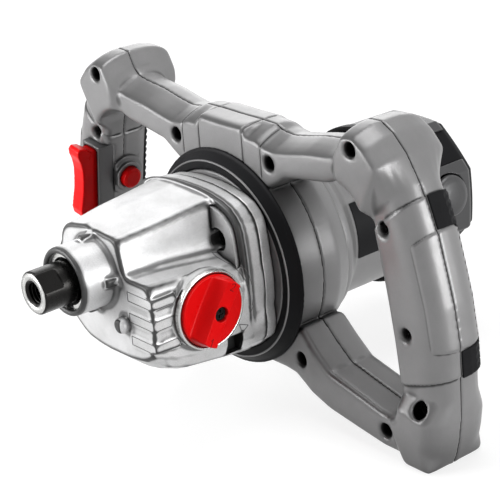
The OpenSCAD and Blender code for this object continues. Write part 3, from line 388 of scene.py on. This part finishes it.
def relax(me, rounds, weight=None, step=0.5):
    """Moves each vertex towards the middle of its neighbours, with a weight per vertex."""
    ends = np.empty(len(me.edges) * 2, int)
    me.edges.foreach_get("vertices", ends)
    a, b = ends.reshape(-1, 2).T
    n = len(me.vertices)
    count = np.maximum(np.bincount(a, minlength=n) + np.bincount(b, minlength=n), 1)
    co = coords(me)
    share = step if weight is None else (step * weight)[:, None]
    for _ in range(rounds):
        middle = np.empty_like(co)
        for axis in range(3):
            c = co[:, axis]
            middle[:, axis] = (np.bincount(a, c[b], n) + np.bincount(b, c[a], n)) / count
        co += share * (middle - co)
    set_coords(me, co)


# Half widths of the dark line of a seam, and of the strip beside it that stays in its plane
SEAM_LINE, SEAM_STRIP = 0.3, 1.6
# The shortest flattened normal that still gives a direction
LEAST_FLAT = 0.3
CREASE_STEP = 0.8


def keep_crease(me, rounds, depth, name="crease", seam=None):
    """Keeps a value on each vertex: 1 where it stands depth over its surroundings, -1 in a fold or seam."""
    no = normals(me)
    before = coords(me)
    relax(me, rounds, step=CREASE_STEP)
    after = coords(me)
    set_coords(me, before)
    value = ((before - after) * no).sum(axis=1) / (depth * MM)
    if seam is not None:
        value[np.abs(before[:, 0] / MM - seam) < SEAM_LINE] = -1
    kept = me.attributes.new(name, "FLOAT", "POINT")
    kept.data.foreach_set("value", np.clip(value, -1, 1).astype(np.float32))


def evaluated(ob):
    """Applies the object's modifiers to its mesh."""
    graph = bpy.context.evaluated_depsgraph_get()
    me = bpy.data.meshes.new_from_object(ob.evaluated_get(graph), depsgraph=graph)
    ob.modifiers.clear()
    ob.data = me
    return me


def remesh(ob, voxel):
    modifier = ob.modifiers.new("voxels", "REMESH")
    modifier.mode = "VOXEL"
    modifier.voxel_size = voxel * MM
    modifier.adaptivity = 0
    modifier.use_smooth_shade = True
    return evaluated(ob)


def cut(ob, tool):
    modifier = ob.modifiers.new("cut", "BOOLEAN")
    modifier.operation = "DIFFERENCE"
    modifier.solver = "EXACT"
    modifier.object = tool
    evaluated(ob)
    bpy.data.objects.remove(tool)


def block(xs, ys, zs):
    verts = [(x * MM, y * MM, z * MM) for x in xs for y in ys for z in zs]
    faces = [(0, 1, 3, 2), (4, 6, 7, 5), (0, 4, 5, 1), (2, 3, 7, 6), (0, 2, 6, 4), (1, 5, 7, 3)]
    return mesh_from("tool", verts, faces, False)


def dress(ob, slot_name, material=None):
    ob.data.materials.clear()
    ob.data.materials.append(material or M[slot_name])


def add(ob, slot_name, body="machine", material=None):
    """A piece that the CAD has no node for."""
    dress(ob, slot_name, material)
    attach(ob, body)


def stand_in(ob, node):
    dress(ob, SLOT[node])
    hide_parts(node)
    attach(ob, BODY[node])


def soften(node, voxel, rounds, weight=None):
    """A copy of a CAD node with moulded, rounded edges, which stands for the node."""
    ob = link(node + "_formed", NODES[node].data.copy())
    me = remesh(ob, voxel)
    relax(me, rounds, None if weight is None else weight(coords(me) / MM))
    stand_in(ob, node)
    return ob


def push(me, height, seam=None):
    """Moves each vertex along its normal by height(place, normal). Beside a seam it stays in its plane."""
    no = normals(me).astype(float)
    co = coords(me)
    if seam is not None:
        near = np.abs(co[:, 0] / MM - seam) < SEAM_STRIP
        flat = no[near] * (0, 1, 1)
        length = np.linalg.norm(flat, axis=1)[:, None]
        no[near] = np.where(length > LEAST_FLAT, flat / np.maximum(length, LEAST_FLAT), 0)
    set_coords(me, co + no * (height(co / MM, no) * MM)[:, None])


def scale_about_motor(me, share):
    """Scales each vertex about the motor's axis by share(x, y, z), where z counts from the axis."""
    co = coords(me) / MM
    co[:, 2] -= MOTOR_Z
    co[:, 1:] *= share(*co.T)[:, None]
    co[:, 2] += MOTOR_Z
    set_coords(me, co * MM)


def rise(x, width=1.0):
    """0 below 0, 1 above width, smooth between."""
    t = np.clip(x / width, 0, 1)
    return t * t * (3 - 2 * t)


GROOVE_HALF = 0.8


def groove(distance):
    return np.clip(1 - np.abs(distance) / GROOVE_HALF, 0, 1)


def circle(sides):
    return [(math.cos(2 * math.pi * k / sides), math.sin(2 * math.pi * k / sides)) for k in range(sides)]


def ring_faces(rings, sides, closed=False):
    """The faces between rings of vertices."""
    faces = []
    for i in range(rings if closed else rings - 1):
        one, other = i * sides, (i + 1) % rings * sides
        for k in range(sides):
            after = (k + 1) % sides
            faces.append((one + k, one + after, other + after, other + k))
    return faces


TUBE_SIDES = 6


def tube(name, points, radius, closed=False):
    """A thin round bead along points in metres."""
    n = len(points)
    reference = Vector((0.31, 0.52, 0.79))
    verts = []
    for i, p in enumerate(points):
        before = points[i - 1] if closed or i > 0 else p
        after = points[(i + 1) % n] if closed or i < n - 1 else p
        along = (after - before).normalized()
        side = along.cross(reference).normalized()
        other = along.cross(side)
        verts += [p + (side * c + other * s) * (radius * MM) for c, s in circle(TUBE_SIDES)]
    faces = ring_faces(n, TUBE_SIDES, closed)
    if not closed:
        faces.append(tuple(range(TUBE_SIDES)))
        faces.append(tuple(range((n - 1) * TUBE_SIDES, n * TUBE_SIDES)))
    return mesh_from(name, verts, faces)


def lathe(name, profile, at, axis, sides=64):
    """A turned form. The profile holds (radius, height), and the axis is a unit vector."""
    z = Vector(axis)
    x = z.orthogonal().normalized()
    y = z.cross(x)
    verts = []
    for radius, height in profile:
        verts += [(Vector(at) + z * height + (x * c + y * s) * radius) * MM for c, s in circle(sides)]
    return mesh_from(name, verts, ring_faces(len(profile), sides))


def surface_of(ob):
    bm = bmesh.new()
    bm.from_mesh(ob.data)
    surface = BVHTree.FromBMesh(bm)
    bm.free()
    return surface


def dense(points, step, closed=False):
    """A polyline with a point at every step."""
    out = []
    corners = list(points) + ([points[0]] if closed else [])
    for a, b in zip(corners, corners[1:]):
        count = max(1, int(math.dist(a, b) / step))
        out += [tuple(s + (e - s) * j / count for s, e in zip(a, b)) for j in range(count)]
    return out if closed else out + [tuple(corners[-1])]


def drape(surface, points, towards, sink):
    """Points dropped along a direction onto a surface and lowered into it by sink, in metres."""
    direction = Vector(towards)
    hits = [surface.ray_cast(Vector(p) * MM, direction)[0] for p in points]
    return [hit + direction * sink * MM for hit in hits if hit is not None]


# Studio lamps: name, direction from the part, distance and width in metres, brightness
LAMPS = (
    ("top_box", (0.1, 0.1, 1.0), 2.2, 1.6, 5.0),
    ("side_box", (0.25, -0.97, 0.02), 2.2, 1.6, 10.0),
    ("front_box", (-0.80, 0.55, 0.30), 0.95, 0.65, 10.5),
    ("rear_box", (0.60, 0.70, 0.35), 2.2, 1.5, 2.0),
)
# The point that they face, in metres
LAMP_AIM = (0.13, 0, -0.02)
AMBIENT = 0.04
# Floor, in metres: half its width, and its gap below the part
FLOOR_HALF, FLOOR_GAP = 8.0, 0.0003
# What the floor bounces, and what its shade and its own glow add to white
FLOOR_BOUNCE, FLOOR_SHADE, FLOOR_GLOW = 0.28, 0.3, 0.8
# Where its glow starts to rise and where it is white, in metres from the spindle's face
GLOW_NEAR, GLOW_FAR = 0.6, 2.2


def seen_rays(t):
    """1 for the rays that show the plain background: seen, mirrored and refracted ones."""
    path = t.add("LightPath")
    total = path.outputs["Is Camera Ray"]
    for ray in ("Is Glossy Ray", "Is Transmission Ray"):
        total = t.math("ADD", total, path.outputs[ray], clamp=True)
    return total


def floor_material():
    material = bpy.data.materials.new("pale_floor")
    material.use_nodes = True
    nodes = material.node_tree.nodes
    nodes.remove(nodes["Principled BSDF"])
    t = Nodes(material.node_tree)
    bounced = t.add("BsdfDiffuse", Color=(*grey(FLOOR_BOUNCE), 1)).outputs[0]
    lit = t.add("BsdfDiffuse", Color=(*grey(FLOOR_SHADE), 1)).outputs[0]
    # The glow rises to white away from the object, so that no horizon shows
    far = t.vector_math("LENGTH", t.place())
    glow = t.add("MapRange", Value=far, From_Min=GLOW_NEAR, From_Max=GLOW_FAR, To_Min=FLOOR_GLOW, To_Max=1.0)
    seen = t.join("AddShader", lit, t.add("Emission", Strength=glow.outputs["Result"]).outputs[0])
    above = t.join("MixShader", seen_rays(t), bounced, seen)
    # The floor is seen from above only
    below = t.add("BsdfTransparent").outputs[0]
    one_sided = t.join("MixShader", t.add("NewGeometry").outputs["Backfacing"], above, below)
    t.put(nodes["Material Output"].inputs[0], one_sided)
    return material


def make_floor():
    z = cad_lo[2] - FLOOR_GAP
    corners = [(x * FLOOR_HALF, y * FLOOR_HALF, z) for x, y in ((-1, -1), (1, -1), (1, 1), (-1, 1))]
    floor = mesh_from("floor", corners, [(0, 1, 2, 3)], False)
    floor.data.materials.append(floor_material())


def make_world():
    world = bpy.data.worlds.new("studio")
    world.use_nodes = True
    nodes = world.node_tree.nodes
    t = Nodes(world.node_tree)
    light = nodes["Background"]
    light.inputs["Color"].default_value = (*WHITE, 1)
    light.inputs["Strength"].default_value = AMBIENT
    seen = t.add("Background", Color=(*WHITE, 1))
    both = t.join("MixShader", seen_rays(t), light.outputs[0], seen.outputs[0])
    t.put(nodes["World Output"].inputs[0], both)
    scene.world = world


def make_lamp(name, direction, distance, size, brightness):
    """A round lamp that faces the part and isn't seen itself."""
    data = bpy.data.lights.new(name, "AREA")
    data.shape = "DISK"
    data.size = size
    data.energy = brightness * math.pi * math.pi * size * size / 4
    ob = bpy.data.objects.new(name, data)
    scene.collection.objects.link(ob)
    at = Vector(direction).normalized() * distance
    ob.location = Vector(LAMP_AIM) + at
    ob.rotation_euler = (-at).to_track_quat("-Z", "Y").to_euler()
    ob.visible_camera = False


# Gearbox casting: the corner that holds the raised bars, and the planes where they end
BARS_X, BARS_Y, BARS_LOW_Z, BARS_HIGH_Z = 60, -26, -37, -3
BARS_FRONT_X, BARS_SIDE_Y = 39.75, -48.75
# How far the flange is drawn in at its radius, and where that starts
FLANGE_DRAW, FLANGE_R = 1.6, 50
FLANGE_X, FLANGE_HUB_R, FLANGE_FOOT_Z = 104, 46, -45
# The rounded far flank: where it starts and ends, and how softly
FLANK_Y, FLANK_FRONT_X, FLANK_REAR_X, FLANK_FADE = 10, 44, 94, 6
# The pocket below the knob, the depth from which its walls get painted shade, and a margin round them
POCKET = ((88.5, 98.5), (-60, -40), (-54, -42.5))
POCKET_MOUTH_Y, POCKET_EDGE = -47.5, 0.5


def thin_bars(me):
    co = coords(me) / MM
    x, y, z = co.T
    bars = (x < BARS_X) & (y < BARS_Y) & (z < BARS_HIGH_Z) & (z > BARS_LOW_Z)
    co[bars, 0] = np.maximum(co[bars, 0], BARS_FRONT_X)
    co[bars, 1] = np.maximum(co[bars, 1], BARS_SIDE_Y)
    set_coords(me, co * MM)


def flange_share(x, y, z):
    """Draws the flange in a little, so that the black ring shows round it, but not at its foot."""
    rim = rise(x - FLANGE_X, 5) * rise(np.hypot(y, z) - FLANGE_HUB_R, 4)
    return 1 - FLANGE_DRAW / FLANGE_R * rim * rise(z + MOTOR_Z - FLANGE_FOOT_Z, 10)


def make_pocket(casting):
    cut(casting, block(*POCKET))
    # Its walls take the dark casting: painted shade in the recess
    casting.data.materials.append(M["cast_shadow"])
    (x0, x1), (_, y1), (z0, z1) = POCKET
    low = (x0 - POCKET_EDGE, POCKET_MOUTH_Y, z0 - POCKET_EDGE)
    high = (x1 + POCKET_EDGE, y1 + POCKET_EDGE, z1 + POCKET_EDGE)
    walls = casting.data.polygons
    middles = np.empty(len(walls) * 3)
    walls.foreach_get("center", middles)
    middles = middles.reshape(-1, 3) / MM
    dark = ((middles > low) & (middles < high)).all(axis=1)
    walls.foreach_set("material_index", dark.astype(np.int32))


def far_flank(co):
    """The rounded far side of the casting, which has no edges of its own."""
    x, y, _ = co.T
    length = rise(x - FLANK_FRONT_X, FLANK_FADE) * rise(FLANK_REAR_X - x, FLANK_FADE)
    return rise(y - FLANK_Y, FLANK_FADE) * length


def make_casting():
    casting = soften("gearbox_housing", voxel=0.65, rounds=12)
    thin_bars(casting.data)
    scale_about_motor(casting.data, flange_share)
    make_pocket(casting)
    relax(casting.data, rounds=60, weight=far_flank(coords(casting.data) / MM))
    keep_crease(casting.data, rounds=14, depth=0.3)
    return casting


# Pieces whose edges are softened: node, voxel size and rounds of smoothing
SOFTENED = (
    ("front_ring", 0.6, 4),
    ("motor_housing", 0.8, 4),
    ("rear_cover", 0.7, 5),
    ("rear_panels", 0.5, 4),
    ("brush_caps", 0.4, 3),
    ("gearbox_plate", 0.6, 2),
    ("gearbox_gasket", 0.4, 1),
    ("trigger_guide", 0.45, 3),
    ("trigger", 0.45, 7),
    ("lock_bezel", 0.4, 3),
    ("lock_button", 0.3, 4),
    ("knob_screw", 0.2, 2),
    ("spindle", 0.35, 2),
)
# Pieces with a finish of their own
FINISH = {"rear_panels": "panel_plastic", "brush_caps": "panel_plastic", "lock_bezel": "grey_plastic"}


# Flats round the end of the rear cover: their number, depth as a share of a chord's, and start
FLATS, FLATS_DEPTH, FLATS_X, FLATS_FADE = 8, 0.75, 238, 12


def flats_share(x, y, z):
    half = math.pi / FLATS
    turn = np.arctan2(z, y)
    chord = math.cos(half) / np.cos((turn + half) % (2 * half) - half)
    return 1 + (chord - 1) * FLATS_DEPTH * rise(x - FLATS_X, FLATS_FADE)


# Trigger: where its head starts, the share of depth and width that the head keeps, and its middle
TRIGGER_SEAT_X, TRIGGER_DEPTH, TRIGGER_WIDTH = 131, 0.80, 0.86
GRIP_Y, TRIGGER_OFFSET, SPLAY = 137.3, 8, math.radians(8.7)
# The rim of its frame, drawn forwards
GUIDE_X, GUIDE_LIFT, GUIDE_FADE = 134, 2.2, 2.5


def seat_trigger(me):
    co = coords(me) / MM
    head = co[:, 0] < TRIGGER_SEAT_X
    co[head, 0] = TRIGGER_SEAT_X - (TRIGGER_SEAT_X - co[head, 0]) * TRIGGER_DEPTH
    middle = GRIP_Y - TRIGGER_OFFSET * math.cos(SPLAY) - co[:, 2] * math.tan(SPLAY)
    co[:, 1] = middle + (co[:, 1] - middle) * np.where(head, TRIGGER_WIDTH, 1)
    set_coords(me, co * MM)


def seat_guide(me):
    co = coords(me) / MM
    co[:, 0] -= GUIDE_LIFT * rise(GUIDE_X - co[:, 0], GUIDE_FADE)
    set_coords(me, co * MM)


def make_softened():
    formed = {node: soften(node, voxel, rounds) for node, voxel, rounds in SOFTENED}
    for node in ("gearbox_plate", "gearbox_gasket"):
        scale_about_motor(formed[node].data, flange_share)
    for node in ("rear_cover", "rear_panels"):
        scale_about_motor(formed[node].data, flats_share)
    seat_trigger(formed["trigger"].data)
    seat_guide(formed["trigger_guide"].data)
    for node, finish in FINISH.items():
        formed[node].data.materials[0] = M[finish]


# Frame shells, with the steps and seams of the moulding
SLEEVE_LIFT, PANEL_LIFT, STEP_WIDTH = 0.95, 0.7, 1.2
# Lines seen from the front: a point (out, z), with out the distance from the middle, the slope and its cosine
SLEEVE_TOP = (127, 32, 0.8, 0.78)
SLEEVE_END = (139, -58, 0.298, 0.96)
PANEL_TOP = (140, 17.6, 1.04, 0.7)
PANEL_BOTTOM = (151.6, -35.7, 0.02, 1)
# The panel's inner edge is steep, so its point is (z, out) and its slope is out over z
PANEL_INNER = (17.6, 140.3, -0.222, 0.97)
GRIP_OUT, PANEL_FRONT_X, BLOCK_Z = 112, 135.8, 33
# Seams in the middle block: distance from the middle, depth and rear end
BLOCK_SEAMS = ((19, 0.8, 160), (34, 0.6, 150))
# The shells' joint: depth of its groove, half of its gap, and the thickness of what counts as its face
SEAM_DEPTH, SHELL_GAP, JOINT_FACE = 0.35, 0.08, 0.35


# Smoothing beside the seam: the half width that has the least of it, the way to full smoothing, and the least
SEAM_CALM, SEAM_CALM_FADE, SEAM_CALM_LEAST = 0.8, 3, 0.04


def seam_weight(co):
    away = np.abs(co[:, 0] - SEAM_X) - SEAM_CALM
    return np.clip(away / SEAM_CALM_FADE, SEAM_CALM_LEAST, 1)


def beyond(line, a, b, side=1):
    """1 on one side of a line and 0 on the other, with a short slope between."""
    a0, b0, slope, cosine = line
    return rise(side * (b - b0 - slope * (a - a0)) * cosine, STEP_WIDTH)


def shell_relief(co, _):
    """The sleeve of each grip, the raised panel on its outer front corner, and the seams."""
    x, y, z = co.T
    out = np.abs(y)
    sleeve = beyond(SLEEVE_TOP, out, z, -1) * beyond(SLEEVE_END, out, z)
    panel = beyond(PANEL_TOP, out, z, -1) * beyond(PANEL_BOTTOM, out, z) * beyond(PANEL_INNER, z, out)
    panel *= rise(x - PANEL_FRONT_X)
    lift = (SLEEVE_LIFT * sleeve + PANEL_LIFT * panel) * rise(out - GRIP_OUT, 3)
    for place, depth, rear_x in BLOCK_SEAMS:
        lift -= depth * groove(out - place) * rise(z - BLOCK_Z, 2) * rise(rear_x - x, 4)
    return lift - SEAM_DEPTH * groove(x - SEAM_X)


def make_shell(node, side):
    """One shell. Side is 1 for the rear one and -1 for the front one."""
    me = soften(node, voxel=0.8, rounds=14, weight=seam_weight).data
    push(me, shell_relief, SEAM_X)
    co = coords(me) / MM
    joint = np.abs(co[:, 0] - SEAM_X) < JOINT_FACE
    co[joint, 0] = SEAM_X + side * SHELL_GAP
    set_coords(me, co * MM)
    keep_crease(me, rounds=8, depth=0.35, seam=SEAM_X)
    # A measure of the larger hollows, which get painted shade
    keep_crease(me, rounds=50, depth=1.0, name="hollow")


# Ribbed rubber of the grips
RIB_PITCH, RIB_HEIGHT, RIB_SHARPNESS, RIB_SINK = 4.2, 0.32, 1.6, 0.2
# How far back a normal points where the ribbed face starts, and from there to where it is full
FACE_START, FACE_FADE = 0.25, 0.4


def ribs(co, no):
    """Ribs across the rear face, which lies a little deeper than its sides."""
    face = np.clip((no[:, 0] - FACE_START) / FACE_FADE, 0, 1)
    wave = np.clip(np.sin(co[:, 2] * 2 * math.pi / RIB_PITCH) * RIB_SHARPNESS, -1, 1)
    return face * wave * RIB_HEIGHT - RIB_SINK * face


# Speed knob: a dished disc with a grip bar across it
KNOB_TURN = math.radians(57)
KNOB_AT = Vector((KNOB_X, 0, KNOB_Z))
ALONG_BAR = Vector((math.cos(KNOB_TURN), 0, math.sin(KNOB_TURN)))
ACROSS_BAR = Vector((-math.sin(KNOB_TURN), 0, math.cos(KNOB_TURN)))
KNOB_R, KNOB_ROUND_R, KNOB_ROUND = 20, 18.9, 0.9
DISC_THICK, DISC_DISH = 3.3, 1.1
BAR_RISE, BAR_FLAT, BAR_SLOPE, BAR_CURVE = 8.3, 4.4, 5.4, 1.8
BAR_END_R, BAR_END_LENGTH = 19.4, 1.5
# The counterbore of the screw: radius, that of its floor, height of its floor, height and width of its wall
BORE_R, BORE_FLOOR_R, BORE_FLOOR, BORE_WALL, BORE_WALL_WIDTH = 4.2, 3.9, 7.0, 4.0, 0.25
KNOB_GRID = 160


def knob_height(u, v):
    """Height of the knob's face over its back, u along the bar and v across it."""
    r = math.hypot(u, v)
    disc = DISC_THICK + DISC_DISH * (r / KNOB_R) ** 2
    across = max(0.0, 1 - max(0.0, abs(v) - BAR_FLAT) / BAR_SLOPE) ** BAR_CURVE
    end = max(0.0, min(1.0, (BAR_END_R - r) / BAR_END_LENGTH))
    bar = BAR_RISE * across * (end * end * (3 - 2 * end)) ** 0.5
    edge = max(0.0, r - KNOB_ROUND_R) / (KNOB_R - KNOB_ROUND_R)
    top = disc + bar - KNOB_ROUND * edge * edge
    if r >= BORE_R:
        return top
    return min(top, BORE_FLOOR + BORE_WALL * max(0.0, min(1.0, (r - BORE_FLOOR_R) / BORE_WALL_WIDTH)))


def make_knob():
    n = KNOB_GRID
    row = n + 1
    verts = []
    for i in range(row):
        for j in range(row):
            a, b = 2 * i / n - 1, 2 * j / n - 1
            # A square grid drawn into the disc
            u = a * math.sqrt(1 - b * b / 2) * KNOB_R
            v = b * math.sqrt(1 - a * a / 2) * KNOB_R
            p = KNOB_AT + ALONG_BAR * u + ACROSS_BAR * v
            verts.append((p.x * MM, (KNOB_BACK_Y - knob_height(u, v)) * MM, p.z * MM))
    faces = []
    for i in range(n):
        for j in range(n):
            a = i * row + j
            faces.append((a, a + 1, a + row + 1, a + row))
    rim = [i * row for i in range(n)] + [n * row + j for j in range(n)]
    rim += [(n - i) * row + n for i in range(n)] + [n - j for j in range(n)]
    base, count = len(verts), len(rim)
    verts += [(verts[k][0], KNOB_BACK_Y * MM, verts[k][2]) for k in rim]
    for k in range(count):
        after = (k + 1) % count
        faces.append((rim[k], rim[after], base + after, base + k))
    faces.append(tuple(range(base, base + count)))
    knob = mesh_from("speed_knob", verts, faces)
    relax(knob.data, 1, step=0.3)
    stand_in(knob, "selector_knob")
    return knob


# Plain numbers on the ends of the grip bar: name, place along the bar, and strokes
NUMBERS = (
    ("number_one", -15.8, ((-1.0, 0.9), (0.0, 2.1), (0.0, -2.1))),
    ("number_two", 15.6, ((-1.2, 1.0), (-0.9, 1.8), (0.0, 2.1), (0.9, 1.7), (1.0, 0.8), (0.4, -0.2),
                          (-1.2, -2.0), (1.2, -2.0))),
)
BEFORE_KNOB = Vector((0, -80, 0))
NUMBER_STEP, NUMBER_SINK, NUMBER_R = 0.3, 0.08, 0.3


def make_numbers(knob):
    surface = surface_of(knob)
    for name, at, strokes in NUMBERS:
        start = KNOB_AT + BEFORE_KNOB + ALONG_BAR * at
        points = [start + ALONG_BAR * b - ACROSS_BAR * a for a, b in dense(strokes, NUMBER_STEP)]
        bead = tube(name, drape(surface, points, (0, 1, 0), NUMBER_SINK), NUMBER_R)
        add(bead, "red_plastic", BODY["selector_knob"], M["red_shade"])


# Lines engraved in the casting, as places (x, z) on its side: the turning arrow and the mark below it
OUTLINES = {
    "arrow_line": (
        (96.6, -0.2), (101.3, -1.2), (100.9, -3.1), (103.5, -6.9), (106.0, -12.3), (107.7, -18.5),
        (107.9, -24.1), (106.6, -29.3), (107.7, -30.2), (104.2, -33.1), (103.6, -28.8), (105.0, -28.7),
        (105.2, -23.7), (104.2, -16.8), (101.9, -9.9), (99.2, -4.5), (97.6, -3.7),
    ),
    "mark_line": ((96.4, -37.2), (102.5, -39.8), (98.3, -43.2)),
}
# Raised bars that wrap the front edge: top and bottom z, and the x of those corners on the side
BARS = ((-4.4, -9.7, 57.4, 54.0), (-16.7, -21.9, 53.2, 51.3), (-30.0, -35.0, 54.3, 57.1))
BAR_END_Y, FRONT_CORNER_X, FRONT_CORNER_Y = -28, 42.4, -47.2
# Places outside the casting from which lines are dropped on it
BEFORE_FRONT_X, BESIDE_Y = 30, -62
LINE_STEP = 0.5
# Radius of the lines, and how far their middle stands over the surface
OUTLINE_R, OUTLINE_LIFT = 0.22, 0.02
BAR_LINE_R, BAR_LINE_LIFT = 0.2, 0.03


def engrave(casting):
    surface = surface_of(casting)

    def on_front(points):
        path = [(BEFORE_FRONT_X, y, z) for y, z in dense(points, LINE_STEP)]
        return drape(surface, path, (1, 0, 0), -BAR_LINE_LIFT)

    def on_side(points, closed, lift):
        path = [(x, BESIDE_Y, z) for x, z in dense(points, LINE_STEP, closed)]
        return drape(surface, path, (0, 1, 0), -lift)

    # Each line is a thin bead of the dark casting: painted shade along the arrow, the mark and the edges of
    # the bars
    def draw(name, points, radius):
        add(tube(name, points, radius, True), "cast_aluminium", material=M["cast_shadow"])

    for name, points in OUTLINES.items():
        draw(name, on_side(points, True, OUTLINE_LIFT), OUTLINE_R)
    for i, (z0, z1, x0, x1) in enumerate(BARS):
        top = on_front([(BAR_END_Y, z1), (BAR_END_Y, z0), (FRONT_CORNER_Y, z0)])
        corners = [(FRONT_CORNER_X, z0), (x0, z0), (x1, z1), (FRONT_CORNER_X, z1)]
        side = on_side(corners, False, BAR_LINE_LIFT)
        bottom = on_front([(FRONT_CORNER_Y, z1), (BAR_END_Y, z1)])
        draw("bar_line_%d" % (i + 1), top + side + bottom, BAR_LINE_R)


# Turns of the thread in the spindle's nose
THREAD_TURNS, THREAD_PITCH, THREAD_START, THREAD_STEPS = 11, 2.0, 1.4, 40
THREAD_ROOT_R, THREAD_CREST_R, THREAD_HALF, THREAD_FADE = 6.08, 5.5, 0.75, 12


def make_thread():
    section = ((THREAD_ROOT_R, -THREAD_HALF), (THREAD_CREST_R, 0.0), (THREAD_ROOT_R, THREAD_HALF))
    steps = THREAD_STEPS * THREAD_TURNS
    verts = []
    for i in range(steps + 1):
        turn = 2 * math.pi * i / THREAD_STEPS
        x = THREAD_START + THREAD_PITCH * i / THREAD_STEPS
        fade = min(1.0, i / THREAD_FADE, (steps - i) / THREAD_FADE)
        for radius, along in section:
            radius = THREAD_ROOT_R - (THREAD_ROOT_R - radius) * fade
            verts.append(((x + along) * MM, radius * math.cos(turn) * MM, radius * math.sin(turn) * MM))
    faces = ring_faces(steps + 1, 3) + [(0, 1, 2), (steps * 3, steps * 3 + 2, steps * 3 + 1)]
    add(mesh_from("spindle_thread_turns", verts, faces), "blackened_steel", "spindle")


# Springs, each with the joint of its button
SPRINGS = (("trigger_spring", "trigger_pull"), ("lock_spring", "lock_press"))


def make_spring(node, joint):
    coil = link(node + "_coil", NODES[node].data.copy())
    stand_in(coil, node)
    axis = JOINTS[joint]["axis"]
    co = coords(coil.data)
    along = co @ np.array(axis)
    tuple(co[along.argmax()])
    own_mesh(coil)


# Turned pieces: profile as (radius, height), and place
SEAT_RING = ((22.0, 0.0), (22.0, 2.6), (21.7, 3.0), (20.8, 3.0), (20.5, 2.7), (20.5, 0.0))
SEAT_AT = (KNOB_X, KNOB_BACK_Y - 0.1, KNOB_Z)
PEG = ((4.0, -1.5), (4.0, 0.6), (4.5, 1.2), (4.5, 3.2), (4.1, 4.3), (3.2, 5.0), (1.6, 5.4), (0.02, 5.5))
PEG_AT = (39.6, -24, -24)
RING_RIM = ((57.3, -0.3), (57.5, 0.25), (57.9, 0.4), (58.3, 0.25), (58.5, -0.3))
RING_RIM_AT = (124.3, 0, MOTOR_Z)
NOSE_FACE = ((7.4, 0.0), (7.4, 0.06), (11.1, 0.06), (11.1, 0.0))
FORWARDS, SIDEWAYS = (-1, 0, 0), (0, -1, 0)

make_camera()
make_materials()
make_world()
make_floor()
for lamp in LAMPS:
    make_lamp(*lamp)
scene.view_settings.view_transform = "Standard"

for name, ob in NODES.items():
    ob.data.materials.clear()
    ob.data.materials.append(M[SLOT[name]])
casting = make_casting()
make_softened()
make_shell("frame_front_shell", -1)
make_shell("frame_rear_shell", 1)
for node in ("grip_insert_near", "grip_insert_far"):
    push(soften(node, voxel=0.5, rounds=3).data, ribs)
knob = make_knob()
add(lathe("knob_seat_ring", SEAT_RING, SEAT_AT, SIDEWAYS, 96), "machined_steel")
add(lathe("casting_peg", PEG, PEG_AT, FORWARDS, 40), "cast_aluminium")
make_numbers(knob)
add(lathe("front_ring_rim", RING_RIM, RING_RIM_AT, FORWARDS, 160), "grey_plastic")
engrave(casting)
make_thread()
add(lathe("spindle_face", NOSE_FACE, (0, 0, 0), FORWARDS), "machined_steel", "spindle")
for node, joint in SPRINGS:
    make_spring(node, joint)
